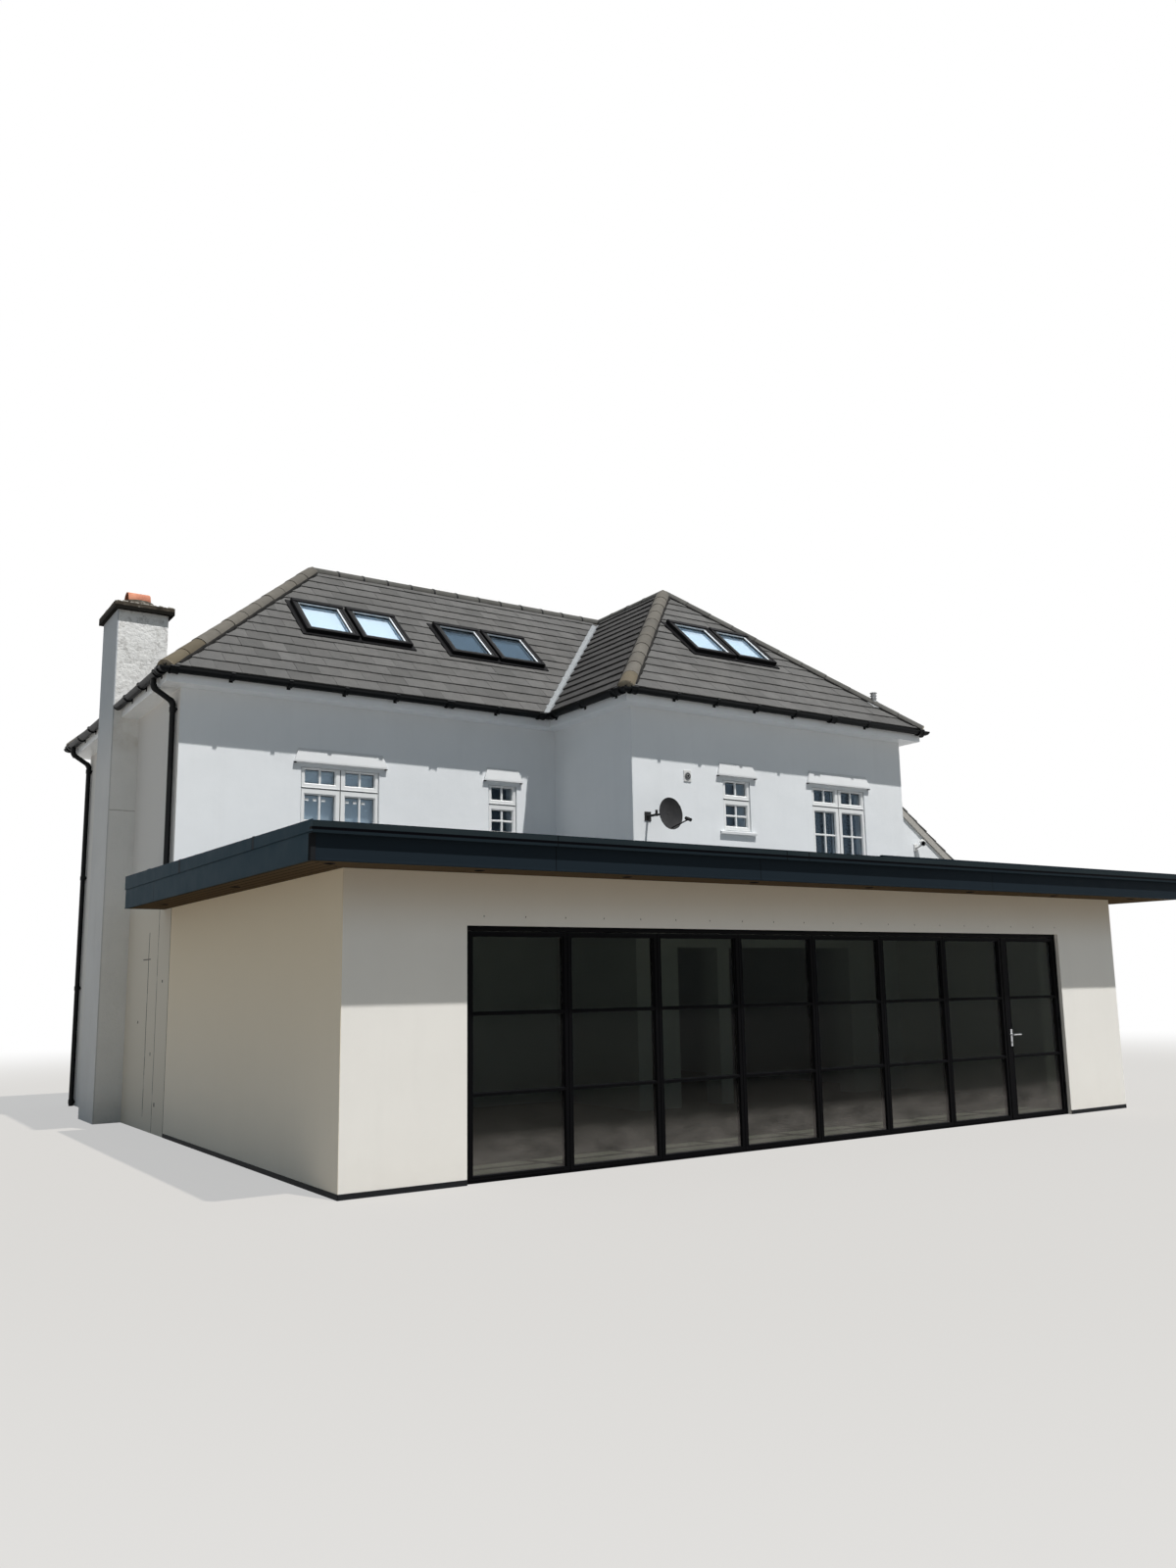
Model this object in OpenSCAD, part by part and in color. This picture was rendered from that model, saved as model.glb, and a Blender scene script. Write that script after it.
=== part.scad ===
// Detached house with an L-shaped hipped roof and a flat-roofed garden extension.
// Plan coordinates: X runs along the garden side, Y runs from the garden towards the street side.

/* [House] */
// Overall width of the house and of the extension
house_w = 10200; // [9600:100:11000]
// Depth of the main range from its garden wall to its street wall
main_d = 5000; // [4800:100:5200]
// Width of the wing that projects towards the garden
wing_w = 5000; // [4800:100:5200]
// How far the wing projects from the main garden wall
wing_out = 1850; // [1500:50:2200]
// Thickness of the outer walls
wall_t = 300; // [250:10:350]
// Height of the eaves soffit above the ground
soffit_z = 5140; // [4900:20:5400]

/* [Roof] */
// Pitch of every roof slope in degrees
pitch = 42; // [38:0.1:44]
// Distance from the wall to the face of the fascia
fascia_out = 220; // [200:10:300]
// Width of the half-round gutter
gutter_w = 112; // [100:4:125]
// Width of one rooflight
rooflight_w = 740; // [660:20:780]
// Length of one rooflight up the slope
rooflight_l = 910; // [880:10:1180]

/* [Extension] */
// Depth of the extension in front of the main garden wall
ext_d = 5100; // [4800:50:5400]
// Height of the underside of the flat roof
ext_h = 2540; // [2440:20:2640]
// Height of the flat roof's edge at the garden side
edge_h = 305; // [280:5:350]
// Rise of the flat roof from the garden side to the house
roof_fall = 65; // [50:5:120]
// Overhang of the flat roof at the front and the left side
roof_out = 440; // [380:10:500]
// Overhang of the flat roof at the right side
roof_out_right = 850; // [700:50:1000]

/* [Folding doors] */
// Left edge of the door opening
door_x = 1110; // [1000:10:1300]
// Width of the door opening
door_w = 8000; // [7600:10:8000]
// Height of the door opening
door_h = 2100; // [2050:10:2150]
// Number of leaves, of which the last one is the single door
leaves = 8; // [7:1:8]
// Set-back of the door frame from the wall face
reveal = 45; // [40:5:120]

/* [Chimney] */
// Length of the chimney along the wall
chimney_l = 850; // [750:50:950]
// Width of the stack across the wall
chimney_w = 640; // [560:20:700]
// Height of the stack under its cap
chimney_h = 6600; // [6300:10:6800]

/* [Lean-to] */
// Width of the lean-to at the right side
lean_w = 2500; // [2200:50:2600]
// Length of the lean-to
lean_l = 5000; // [4500:100:5400]
// Pitch of the lean-to roof in degrees
lean_pitch = 34.9; // [33:0.1:36]

/* [Hidden] */

white = [0.93, 0.93, 0.92];
cream = [0.86, 0.83, 0.78];
anthracite = [0.13, 0.16, 0.18];
black = [0.04, 0.04, 0.045];
slate = [0.33, 0.32, 0.31];
eps = 1;
// Gap left between pieces that rest on each other's sloped faces, and between neighbouring runs
bed = 1;
slope = tan(pitch);
// Plan lines of the house
wing_x = house_w - wing_w;
main_y = ext_d;
wing_y = ext_d - wing_out;
street_y = main_y + main_d;
// Roof lines: the tile edge stands over the gutter, and the roof is one plate in each slope
tile_over = 40;
tile_out = fascia_out + tile_over;
fascia_h = 150;
fascia_top = soffit_z + fascia_h;
tile_edge = 38;
plate_t = 180;
edge_z = fascia_top + tile_edge;
ridge_run = main_d / 2 + tile_out;
ridge_z = edge_z + ridge_run * slope;
ridge_y = main_y + main_d / 2;
wing_ridge_x = wing_x + wing_w / 2;
wing_apex_y = wing_y + wing_w / 2;
// A height above every piece, for cuts that run up through them
sky_z = ridge_z + 200;
// Floors
slab_t = 60;
floor_t = 250;
first_floor_z = 2550;
// Lean-to
lean_y = wing_y + 300;
lean_slope = tan(lean_pitch);
lean_top = 4420;
lean_plate = 120;
lean_eave = 150;
lean_eave_t = 40;
lean_wall = 250;
// Flat roof
roof_x0 = -roof_out;
roof_x1 = house_w + roof_out_right;
roof_y0 = -roof_out;
return_y = main_y + 320;
right_return_y = lean_y;
board_t = 25;
front_gutter_out = 45;
capping_t = 10;
// Chimney
chimney_out = chimney_w / 2;
chimney_y = main_y + 2000;
cap_out = 65;
cap_t = 95;
// Outer extent and the centre that the model stands on
gutter_out = fascia_out + gutter_w;
x_low = roof_x0 - capping_t;
x_high = house_w + lean_w + lean_eave + gutter_w;
y_low = roof_y0 - front_gutter_out;
y_high = street_y + gutter_out;
centre_x = (x_low + x_high) / 2;
centre_y = (y_low + y_high) / 2;

// Moves plan coordinates so that the model stands centred on its origin
module place() translate([-centre_x, -centre_y, 0]) children();

// A box between two corners
module box(low, high) translate(low) cube(high - low);

// The outline of the house grown outwards by a distance
module house_outline(grow) polygon(house_points(grow));
function house_points(g) = [
    [-g, main_y - g], [wing_x - g, main_y - g], [wing_x - g, wing_y - g], [house_w + g, wing_y - g],
    [house_w + g, street_y + g], [-g, street_y + g]
];

// The volume of a hipped roof over a rectangle, from the ground to the slopes
module hip_volume(x0, x1, y0, y1) {
    top_x = edge_z + (x1 - x0) / 2 * slope;
    top_y = edge_z + (y1 - y0) / 2 * slope;
    intersection() {
        translate([x0, y1, 0]) rotate([90, 0, 0]) linear_extrude(y1 - y0)
            polygon([[0, 0], [x1 - x0, 0], [x1 - x0, edge_z], [(x1 - x0) / 2, top_x], [0, edge_z]]);
        translate([x0, y0, 0]) rotate([90, 0, 90]) linear_extrude(x1 - x0)
            polygon([[0, 0], [y1 - y0, 0], [y1 - y0, edge_z], [(y1 - y0) / 2, top_y], [0, edge_z]]);
    }
}

// Everything under the surface of the roof
module roof_volume() {
    hip_volume(-tile_out, house_w + tile_out, main_y - tile_out, street_y + tile_out);
    hip_volume(wing_x - tile_out, house_w + tile_out, wing_y - tile_out, street_y + tile_out);
}

// A wall of the house, up to the plate that the roof slopes rest on along its outer face
wall_top = edge_z - plate_t + tile_out * slope;
module house_wall(low, high) box([low[0], low[1], 0], [high[0], high[1], wall_top]);

// Cross-section of a roof plate, from its eaves edge inwards and up
module plate_section(run) polygon([
    [0, fascia_top], [0, edge_z], [run, edge_z + run * slope], [run, edge_z - plate_t + run * slope],
    [(plate_t - tile_edge) / slope, fascia_top]
]);

// A roof plate over a plan outline: its eaves edge starts at a point and turns by an angle
module roof_plate(start, turn, length, run, outline) intersection() {
    translate([start[0], start[1], 0]) rotate([0, 0, turn]) rotate([90, 0, 90])
        linear_extrude(length) plate_section(run);
    linear_extrude(sky_z) polygon(outline);
}

// Windows: left edge along the wall, sill height, width, height, number of lights, sides of the hood
garden_windows = [[1495, 3250, 1040, 1070, 2, 100], [4130, 3600, 440, 700, 1, 80]];
wing_windows = [[6700, 3600, 480, 695, 1, 105], [8340, 3250, 1050, 1070, 2, 100]];
street_windows = [
    [1200, 900, 1300, 1200, 2, 100], [7700, 900, 1300, 1200, 2, 100],
    [1330, 3250, 1040, 1070, 2, 100], [4580, 3250, 1040, 1070, 2, 100], [7830, 3250, 1040, 1070, 2, 100]
];
right_windows = [[9050, 3600, 480, 695, 1, 105]];
window_set_back = 25;
window_frame_t = 70;
window_edge = 60;
window_head = 27;
window_foot = 70;
window_meeting = 140;
window_transom = 143;
fanlight_h = 172;
glass_in = 24;
glass_t = 22;

// Places children at a window of a wall whose outer face looks towards the garden, street or right side
module at_garden(w, y) translate([w[0], y, w[1]]) children();
module at_street(w) translate([w[0] + w[2], street_y, w[1]]) rotate([0, 0, 180]) children();
module at_right(w) translate([house_w, w[0], w[1]]) rotate([0, 0, 90]) children();

// The hole that a window leaves in a wall
module window_hole(w) translate([0, -eps, 0]) cube([w[2], wall_t + 2 * eps, w[3]]);

// Columns and rows of the glazed openings in a window
function light_w(w) = (w[2] - 2 * window_edge - (w[4] - 1) * window_meeting) / w[4];
function light_x(w, i) = window_edge + i * (light_w(w) + window_meeting);
function casement_h(w) = w[3] - window_head - fanlight_h - window_transom - window_foot;

// Children are drawn once in each glazed opening, as a unit cube scaled to it
module each_light(w) for (i = [0 : w[4] - 1]) {
    translate([light_x(w, i), 0, w[3] - window_head - fanlight_h]) scale([light_w(w), 1, fanlight_h]) children();
    translate([light_x(w, i), 0, window_foot]) scale([light_w(w), 1, casement_h(w)]) children();
}

module window_frame(w) translate([0, window_set_back, 0]) difference() {
    cube([w[2], window_frame_t, w[3]]);
    each_light(w) translate([0, -eps, 0]) cube([1, window_frame_t + 2 * eps, 1]);
}

module window_pane(w) translate([0, window_set_back + glass_in, 0]) each_light(w) cube([1, glass_t, 1]);

// A rendered hood that slopes out over a window, and a sill under it
hood_up = 50;
hood_h = 180;
hood_out = 40;
hood_lip = 20;
hood_top_out = 10;
hood_taper = 60;
module window_hood(w) translate([-w[5], 0, w[3] + hood_up]) intersection() {
    hood_w = w[2] + 2 * w[5];
    rotate([90, 0, 90]) linear_extrude(hood_w)
        polygon([[0, 0], [0, hood_h], [-hood_top_out, hood_h], [-hood_out, hood_lip], [-hood_out, 0]]);
    rotate([90, 0, 0]) linear_extrude(hood_out)
        polygon([[0, 0], [hood_w, 0], [hood_w - hood_taper, hood_h], [hood_taper, hood_h]]);
}

sill_out = 35;
sill_h = 45;
sill_fall = 12;
sill_side = 70;
module window_sill(w) translate([-sill_side, 0, -sill_h]) rotate([90, 0, 90]) linear_extrude(w[2] + 2 * sill_side)
    polygon([[0, 0], [0, sill_h], [-sill_out, sill_h - sill_fall], [-sill_out, 0]]);

// Draws its child at every window of the house, with the window's sizes in $w
module all_windows() {
    for (w = garden_windows) at_garden(w, main_y) { $w = w; children(); }
    for (w = wing_windows) at_garden(w, wing_y) { $w = w; children(); }
    for (w = street_windows) at_street(w) { $w = w; children(); }
    for (w = right_windows) at_right(w) { $w = w; children(); }
}

// Floors
module ground_slab() color([0.6, 0.58, 0.55]) place() {
    linear_extrude(slab_t) difference() {
        union() {
            translate([wall_t, wall_t]) square([house_w - 2 * wall_t, main_y + wall_t]);
            translate([wall_t, main_y + wall_t]) square([house_w - 2 * wall_t, main_d - 2 * wall_t]);
        }
        translate([0, main_y]) square([wing_x, wall_t]);
        translate([wing_x, wing_y]) square([wall_t, main_y + wall_t - wing_y]);
        difference() {
            translate([wing_x, wing_y]) square([wing_w, wall_t]);
            for (gap = [inner_opening, inner_doorway]) translate([gap[0], 0]) square([gap[1] - gap[0], main_y]);
        }
    }
    // The floor runs through the door opening to the back of the frame
    box([door_x, reveal + frame_t, 0], [door_x + door_w, wall_t, slab_t]);
}

module inner_floor(z, t) translate([0, 0, z]) linear_extrude(t) union() {
    translate([wall_t, main_y + wall_t]) square([house_w - 2 * wall_t, main_d - 2 * wall_t]);
    translate([wing_x + wall_t, wing_y + wall_t]) square([wing_w - 2 * wall_t, main_d]);
}

module upper_floors() color([0.72, 0.7, 0.66]) place() {
    inner_floor(first_floor_z, floor_t);
    difference() {
        inner_floor(soffit_z, floor_t);
        chimney_space();
    }
}

// The space that the chimney takes, above the wall and outside it
module chimney_space() {
    box([-chimney_out, chimney_y, -eps], [0, chimney_y + chimney_l, chimney_h]);
    box([-chimney_out, chimney_y, soffit_z], [chimney_out, chimney_y + chimney_l, chimney_h]);
}

// Extension walls
module extension_left_wall() color(cream) place() box([0, 0, 0], [wall_t, main_y, ext_h]);
module extension_right_wall() color(cream) place() box([house_w - wall_t, 0, 0], [house_w, wing_y, ext_h]);
module extension_pier_left() color(cream) place() box([wall_t, 0, 0], [door_x, wall_t, ext_h]);
module extension_pier_right() color(cream) place()
    box([door_x + door_w, 0, 0], [house_w - wall_t, wall_t, ext_h]);
module extension_door_head() color(cream) place()
    box([door_x, 0, door_h], [door_x + door_w, wall_t, ext_h]);

// Plan of the flat roof, drawn in by a distance from its outer edges
module flat_roof_plan(inset) {
    translate([roof_x0 + inset, roof_y0 + inset])
        square([roof_x1 - roof_x0 - 2 * inset, wing_y - roof_y0 - inset]);
    translate([roof_x0 + inset, 0]) square([wing_x - roof_x0 - inset, main_y]);
    translate([roof_x0 + inset, main_y - eps]) square([roof_out - inset, return_y - main_y + eps - inset]);
    translate([house_w, wing_y - eps]) square([roof_out_right - inset, right_return_y - wing_y + eps - inset]);
}

// Side view of the flat roof between a low line and its top, which rises towards the house
roof_len = return_y - roof_y0;
margin = 50;
module roof_side(low, top) translate([roof_x0 - margin, roof_y0, 0]) rotate([90, 0, 90])
    linear_extrude(roof_x1 - roof_x0 + 2 * margin) polygon([
        [-margin, low], [roof_len + margin, low], [roof_len + margin, top + roof_fall], [0, top], [-margin, top]
    ]);

soffit_t = 12;
deck_drop = 45;
fascia_drop = 25;
module extension_roof_deck() color([0.3, 0.31, 0.32]) place() intersection() {
    linear_extrude(sky_z) flat_roof_plan(board_t);
    roof_side(ext_h + soffit_t, ext_h + edge_h - deck_drop);
}

module extension_soffit() color(anthracite) place() translate([0, 0, ext_h]) linear_extrude(soffit_t)
    flat_roof_plan(board_t);

module extension_fascia() color(anthracite) place() intersection() {
    linear_extrude(sky_z) difference() {
        flat_roof_plan(0);
        flat_roof_plan(board_t);
    }
    roof_side(ext_h, ext_h + edge_h - fascia_drop);
}

// Capping on the two sides, and the box gutter along the garden side, which hangs a little lower
capping_h = 90;
capping_w = 130;
gutter_drop = 10;
gutter_sheet = 4;
module extension_roof_edging() color(black) place() {
    intersection() {
        difference() {
            roof_side(ext_h + edge_h - capping_h, ext_h + edge_h);
            roof_side(0, ext_h + edge_h - fascia_drop);
            linear_extrude(sky_z) flat_roof_plan(capping_w);
        }
        linear_extrude(sky_z) flat_roof_plan(0);
    }
    for (side = [roof_x0 - capping_t, roof_x1])
        intersection() {
            roof_side(ext_h + edge_h - capping_h, ext_h + edge_h);
            box([side, y_low, 0], [side + capping_t, side < 0 ? return_y : right_return_y, sky_z]);
        }
    translate([0, 0, ext_h + edge_h - capping_h - gutter_drop]) difference() {
        box([roof_x0, y_low, 0], [roof_x1, roof_y0, capping_h]);
        box([roof_x0 + gutter_sheet, y_low + gutter_sheet, gutter_sheet],
            [roof_x1 - gutter_sheet, roof_y0 - gutter_sheet, capping_h + eps]);
    }
}

// Door set: outer frame, leaves and glass
jamb_w = 34;
head_t = 40;
cill_t = 14;
frame_t = 70;
leaf_t = 64;
leaf_stile = 38;
lock_stile = 100;
leaf_top = 40;
leaf_foot = 34;
bar_t = 24;
leaf_gap = 6;
door_gap = 10;
hinge_gap = 6;
leaf_pitch = (door_w - 2 * jamb_w) / leaves;
leaf_z0 = cill_t + leaf_gap;
leaf_z1 = door_h - head_t - leaf_gap;
access_x1 = door_x + door_w - jamb_w - hinge_gap;
access_x0 = access_x1 - leaf_pitch + hinge_gap + door_gap;
hinge_x = access_x1 + hinge_gap / 2;
hinge_r = 8;
hinge_y = reveal - hinge_r;
hinge_heights = [250, 1000, 1780];
pin_r = 4;
pin_fit = 0.3;
knuckle = 40;
knuckle_gap = 1;
flap_w = 27;
flap_t = 3;
door_glass_in = 20;

module leaf(x0, x1, stile) difference() {
    box([x0, reveal, leaf_z0], [x1, reveal + leaf_t, leaf_z1]);
    for (i = [0 : 2]) translate([0, 0, i * (pane_h() + bar_t)])
        box([x0 + stile, reveal - eps, leaf_z0 + leaf_foot],
            [x1 - leaf_stile, reveal + frame_t, leaf_z0 + leaf_foot + pane_h()]);
}
function pane_h() = (leaf_z1 - leaf_z0 - leaf_top - leaf_foot - 2 * bar_t) / 3;

module leaf_glass(x0, x1, stile) for (i = [0 : 2]) translate([0, 0, i * (pane_h() + bar_t)])
    box([x0 + stile, reveal + door_glass_in, leaf_z0 + leaf_foot],
        [x1 - leaf_stile, reveal + leaf_t - door_glass_in, leaf_z0 + leaf_foot + pane_h()]);

function leaf_x0(i) = door_x + jamb_w + i * leaf_pitch + (i == 0 ? leaf_gap : leaf_gap / 2);
function leaf_x1(i) = door_x + jamb_w + (i + 1) * leaf_pitch - leaf_gap / 2;

module door_frame() color(black) place() {
    difference() {
        box([door_x, reveal, 0], [door_x + door_w, reveal + frame_t, door_h]);
        box([door_x + jamb_w, reveal - eps, cill_t],
            [door_x + door_w - jamb_w, reveal + frame_t + eps, door_h - head_t]);
    }
    // Fixed hinge knuckles on the right jamb, with the pins that the single door turns on
    for (z = hinge_heights) {
        for (part = [0, 2]) translate([hinge_x, 0, z + part * (knuckle + knuckle_gap)]) {
            translate([0, hinge_y, 0]) cylinder(r = hinge_r, h = knuckle, $fn = 32);
            translate([0, reveal - flap_t, 0]) cube([flap_w, flap_t, knuckle]);
        }
        translate([hinge_x, hinge_y, z]) cylinder(r = pin_r, h = 3 * knuckle + 2 * knuckle_gap, $fn = 32);
    }
}

module folding_leaves() color(black) place() for (i = [0 : leaves - 2])
    leaf(leaf_x0(i), leaf_x1(i), leaf_stile);
module folding_glass() color([0.6, 0.7, 0.75, 0.4]) place() for (i = [0 : leaves - 2])
    leaf_glass(leaf_x0(i), leaf_x1(i), leaf_stile);

module access_door() color(black) place() {
    leaf(access_x0, access_x1, lock_stile);
    for (z = hinge_heights) difference() {
        translate([hinge_x, 0, z + knuckle + 1.5 * knuckle_gap]) {
            translate([0, hinge_y, 0]) cylinder(r = hinge_r, h = knuckle - knuckle_gap, $fn = 32);
            translate([-flap_w, reveal - flap_t, 0]) cube([flap_w, flap_t, knuckle - knuckle_gap]);
        }
        translate([hinge_x, hinge_y, z]) cylinder(r = pin_r + pin_fit, h = 3 * knuckle, $fn = 32);
    }
}
module access_door_glass() color([0.6, 0.7, 0.75, 0.4]) place() leaf_glass(access_x0, access_x1, lock_stile);

// Lever handles on long plates, outside and inside
handle_in = 70;
handle_plate = [30, 8, 190];
handle_plate_z = 820;
lever_z = 950;
lever_out = 47;
lever_l = 120;
lever_r = 9;
lever_boss_r = 10;
module access_door_handle() color([0.8, 0.8, 0.78]) place()
    for (side = [0, 1]) translate([access_x0 + handle_in, side ? reveal + leaf_t : reveal, 0])
        mirror([0, side, 0]) {
            translate([-handle_plate[0] / 2, -handle_plate[1], handle_plate_z]) cube(handle_plate);
            translate([0, 0, lever_z]) rotate([90, 0, 0]) cylinder(r = lever_boss_r, h = lever_out + 5, $fn = 24);
            translate([0, -lever_out, lever_z]) rotate([0, 90, 0]) cylinder(r = lever_r, h = lever_l, $fn = 24);
        }

// House walls
inner_opening = [6700, 8900];
inner_doorway = [5850, 6500];
inner_opening_h = 2050;
module left_wall() color(white) place() difference() {
    house_wall([0, main_y], [wall_t, street_y]);
    chimney_space();
}
module main_garden_wall() color(white) place() difference() {
    house_wall([wall_t, main_y], [wing_x, main_y + wall_t]);
    for (w = garden_windows) at_garden(w, main_y) window_hole(w);
}
module wing_side_wall() color(white) place()
    house_wall([wing_x, wing_y + wall_t], [wing_x + wall_t, main_y + wall_t]);
module wing_garden_wall() color(white) place() difference() {
    house_wall([wing_x, wing_y], [house_w - wall_t, wing_y + wall_t]);
    for (w = wing_windows) at_garden(w, wing_y) window_hole(w);
    for (gap = [inner_opening, inner_doorway])
        box([gap[0], wing_y - eps, -eps], [gap[1], wing_y + wall_t + eps, inner_opening_h]);
}
module right_wall() color(white) place() difference() {
    house_wall([house_w - wall_t, wing_y], [house_w, street_y]);
    for (w = right_windows) at_right(w) window_hole(w);
}
// Street doorway: left edge along the wall, threshold height, width, height
doorway = [4630, slab_t, 940, 2080];
module street_wall() color(white) place() difference() {
    house_wall([wall_t, street_y - wall_t], [house_w - wall_t, street_y]);
    for (w = street_windows) at_street(w) window_hole(w);
    at_street(doorway) window_hole(doorway);
}

// Roof plates, one for each slope
corner_a = [-tile_out, main_y - tile_out];
corner_b = [wing_x - tile_out, main_y - tile_out];
corner_c = [wing_x - tile_out, wing_y - tile_out];
corner_d = [house_w + tile_out, wing_y - tile_out];
corner_e = [house_w + tile_out, street_y + tile_out];
corner_f = [-tile_out, street_y + tile_out];
hip_top = [main_d / 2, ridge_y];
meeting = [wing_ridge_x, ridge_y];
apex = [wing_ridge_x, wing_apex_y];

// Rooflights: centre of each pair across the slope, and the eaves line it is measured from
rooflight_up = 1860;
rooflight_gap = 55;
rooflight_pairs = [[2570, main_y], [4740, main_y], [7690, wing_y]];
module at_rooflight(pair, side) translate([
    pair[0] + side * (rooflight_w + rooflight_gap) / 2,
    pair[1] - tile_out + rooflight_up * cos(pitch),
    edge_z + rooflight_up * sin(pitch)
]) rotate([pitch, 0, 0]) children();
module each_rooflight(pairs) for (pair = pairs, side = [-1, 1]) at_rooflight(pair, side) children();
lining = 20;
lining_fit = 2;
plate_depth = plate_t * cos(pitch);
module rooflight_hole() {
    inset = lining - lining_fit;
    translate([-rooflight_w / 2 + inset, -rooflight_l / 2 + inset, -2 * plate_t])
        cube([rooflight_w - 2 * inset, rooflight_l - 2 * inset, 3 * plate_t]);
}

module roof_garden_slope() color(slate) place() difference() {
    roof_plate(corner_a, 0, house_w, ridge_run, [corner_a, corner_b, meeting, hip_top]);
    each_rooflight([rooflight_pairs[0], rooflight_pairs[1]]) rooflight_hole();
}
module roof_left_slope() color(slate) place() difference() {
    roof_plate(corner_f, -90, main_d + 2 * tile_out, ridge_run, [corner_a, hip_top, corner_f]);
    chimney_space();
}
module roof_street_slope() color(slate) place()
    roof_plate(corner_e, 180, house_w + 2 * tile_out, ridge_run, [corner_f, hip_top, meeting, corner_e]);
module roof_right_slope() color(slate) place()
    roof_plate(corner_d, 90, main_d + wing_out + 2 * tile_out, ridge_run, [corner_d, corner_e, meeting, apex]);
module wing_garden_slope() color(slate) place() difference() {
    roof_plate(corner_c, 0, wing_w + 2 * tile_out, ridge_run, [corner_c, corner_d, apex]);
    each_rooflight([rooflight_pairs[2]]) rooflight_hole();
}
module wing_left_slope() color(slate) place()
    roof_plate([corner_b[0], corner_b[1] + ridge_run], -90, wing_out + ridge_run, ridge_run,
        [corner_c, apex, meeting, corner_b]);

// A round bar between two points
module rod(a, b, r) {
    v = b - a;
    len = norm(v);
    translate(a) rotate([0, acos(v[2] / len), atan2(v[1], v[0])]) cylinder(r = r, h = len, $fn = 32);
}

// Round tiles along the ridges and hips, bedded on the slopes and mitred where the runs meet
tile_r = 90;
tile_sink = 58;
hip_foot = 0.010;
function ridge_point(p) = [p[0], p[1], ridge_z - tile_sink];
function eaves_point(p) = [p[0], p[1], edge_z - tile_sink];
function toward(p, angle) = p + 2 * house_w * [cos(angle), sin(angle)];

// The part of a run that lies between two directions in plan, seen from the point where runs meet
module mitre(p, from, to) intersection() {
    children();
    linear_extrude(sky_z) polygon([p, toward(p, from), toward(p, to)]);
}
module hip_run(corner, top, from, to) {
    rise = ridge_point(top) - eaves_point(corner);
    mitre(top, from, to)
        rod(eaves_point(corner) + hip_foot * rise, ridge_point(top) + tile_r * rise / norm(rise), tile_r);
}
module ridge_and_hip_tiles() color([0.38, 0.35, 0.32]) place() difference() {
    union() {
        hip_run(corner_a, hip_top, 180, 292.5);
        hip_run(corner_f, hip_top, 67.5, 180);
        hip_run(corner_e, meeting, -22.5, 112.5);
        hip_run(corner_c, apex, 157.5, 270);
        hip_run(corner_d, apex, 270, 382.5);
        mitre(hip_top, -67.5, 67.5) mitre(meeting, 112.5, 225)
            rod(ridge_point(hip_top), ridge_point(meeting), tile_r);
        mitre(apex, 22.5, 157.5) mitre(meeting, 225, 337.5)
            rod(ridge_point(apex), ridge_point(meeting), tile_r);
    }
    translate([0, 0, bed]) roof_volume();
    translate([0, 0, -eps]) linear_extrude(fascia_top) house_outline(2 * tile_out);
}

// Lead strip in the valley between the main range and the wing
valley_w = 90;
valley_top = 140;
valley_t = 12;
module valley_strip() color([0.85, 0.86, 0.87]) place() intersection() {
    difference() {
        translate([0, 0, valley_t]) roof_volume();
        roof_volume();
    }
    linear_extrude(sky_z) polygon([
        corner_b + [-valley_w, 0], corner_b + [0, -valley_w], corner_b + [valley_w / 2, -valley_w / 2],
        meeting + [-valley_top, -valley_top - valley_w], meeting + [-valley_top - valley_w, -valley_top]
    ]);
}

rooflight_rim = 75;
rooflight_up_h = 85;
rooflight_glass_up = 30;
rooflight_seat = 0.05;
module rooflight_frames() color(black) place() each_rooflight(rooflight_pairs) difference() {
    union() {
        translate([-rooflight_w / 2, -rooflight_l / 2, rooflight_seat])
            cube([rooflight_w, rooflight_l, rooflight_up_h - rooflight_seat]);
        translate([-rooflight_w / 2 + lining, -rooflight_l / 2 + lining, -plate_depth])
            cube([rooflight_w - 2 * lining, rooflight_l - 2 * lining, plate_depth + eps]);
    }
    translate([-rooflight_w / 2 + rooflight_rim, -rooflight_l / 2 + rooflight_rim, -plate_depth - eps])
        cube([rooflight_w - 2 * rooflight_rim, rooflight_l - 2 * rooflight_rim, plate_depth + rooflight_up_h + 2 * eps]);
}

// Eaves: soffit and fascia boards round the house in straight runs, and the half-round gutter on them
eaves_t = 22;
eaves_soffit_t = 20;

// The plan of one straight run between two distances from the walls, mitred at both ends
module run_plan(i, near, far) {
    inner = house_points(near);
    outer = house_points(far);
    j = (i + 1) % 6;
    joint = (inner[j] - inner[i]) / norm(inner[j] - inner[i]) * bed;
    polygon([inner[i] + joint, inner[j] - joint, outer[j] - joint, outer[i] + joint]);
}
module eaves_boards() color(white) place() {
    difference() {
        for (i = [0 : 5]) translate([0, 0, soffit_z]) {
            linear_extrude(eaves_soffit_t) run_plan(i, 0, fascia_out - eaves_t - bed);
            linear_extrude(fascia_top - soffit_z) run_plan(i, fascia_out - eaves_t, fascia_out);
        }
        chimney_space();
    }
    lean_boards();
}

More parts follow.
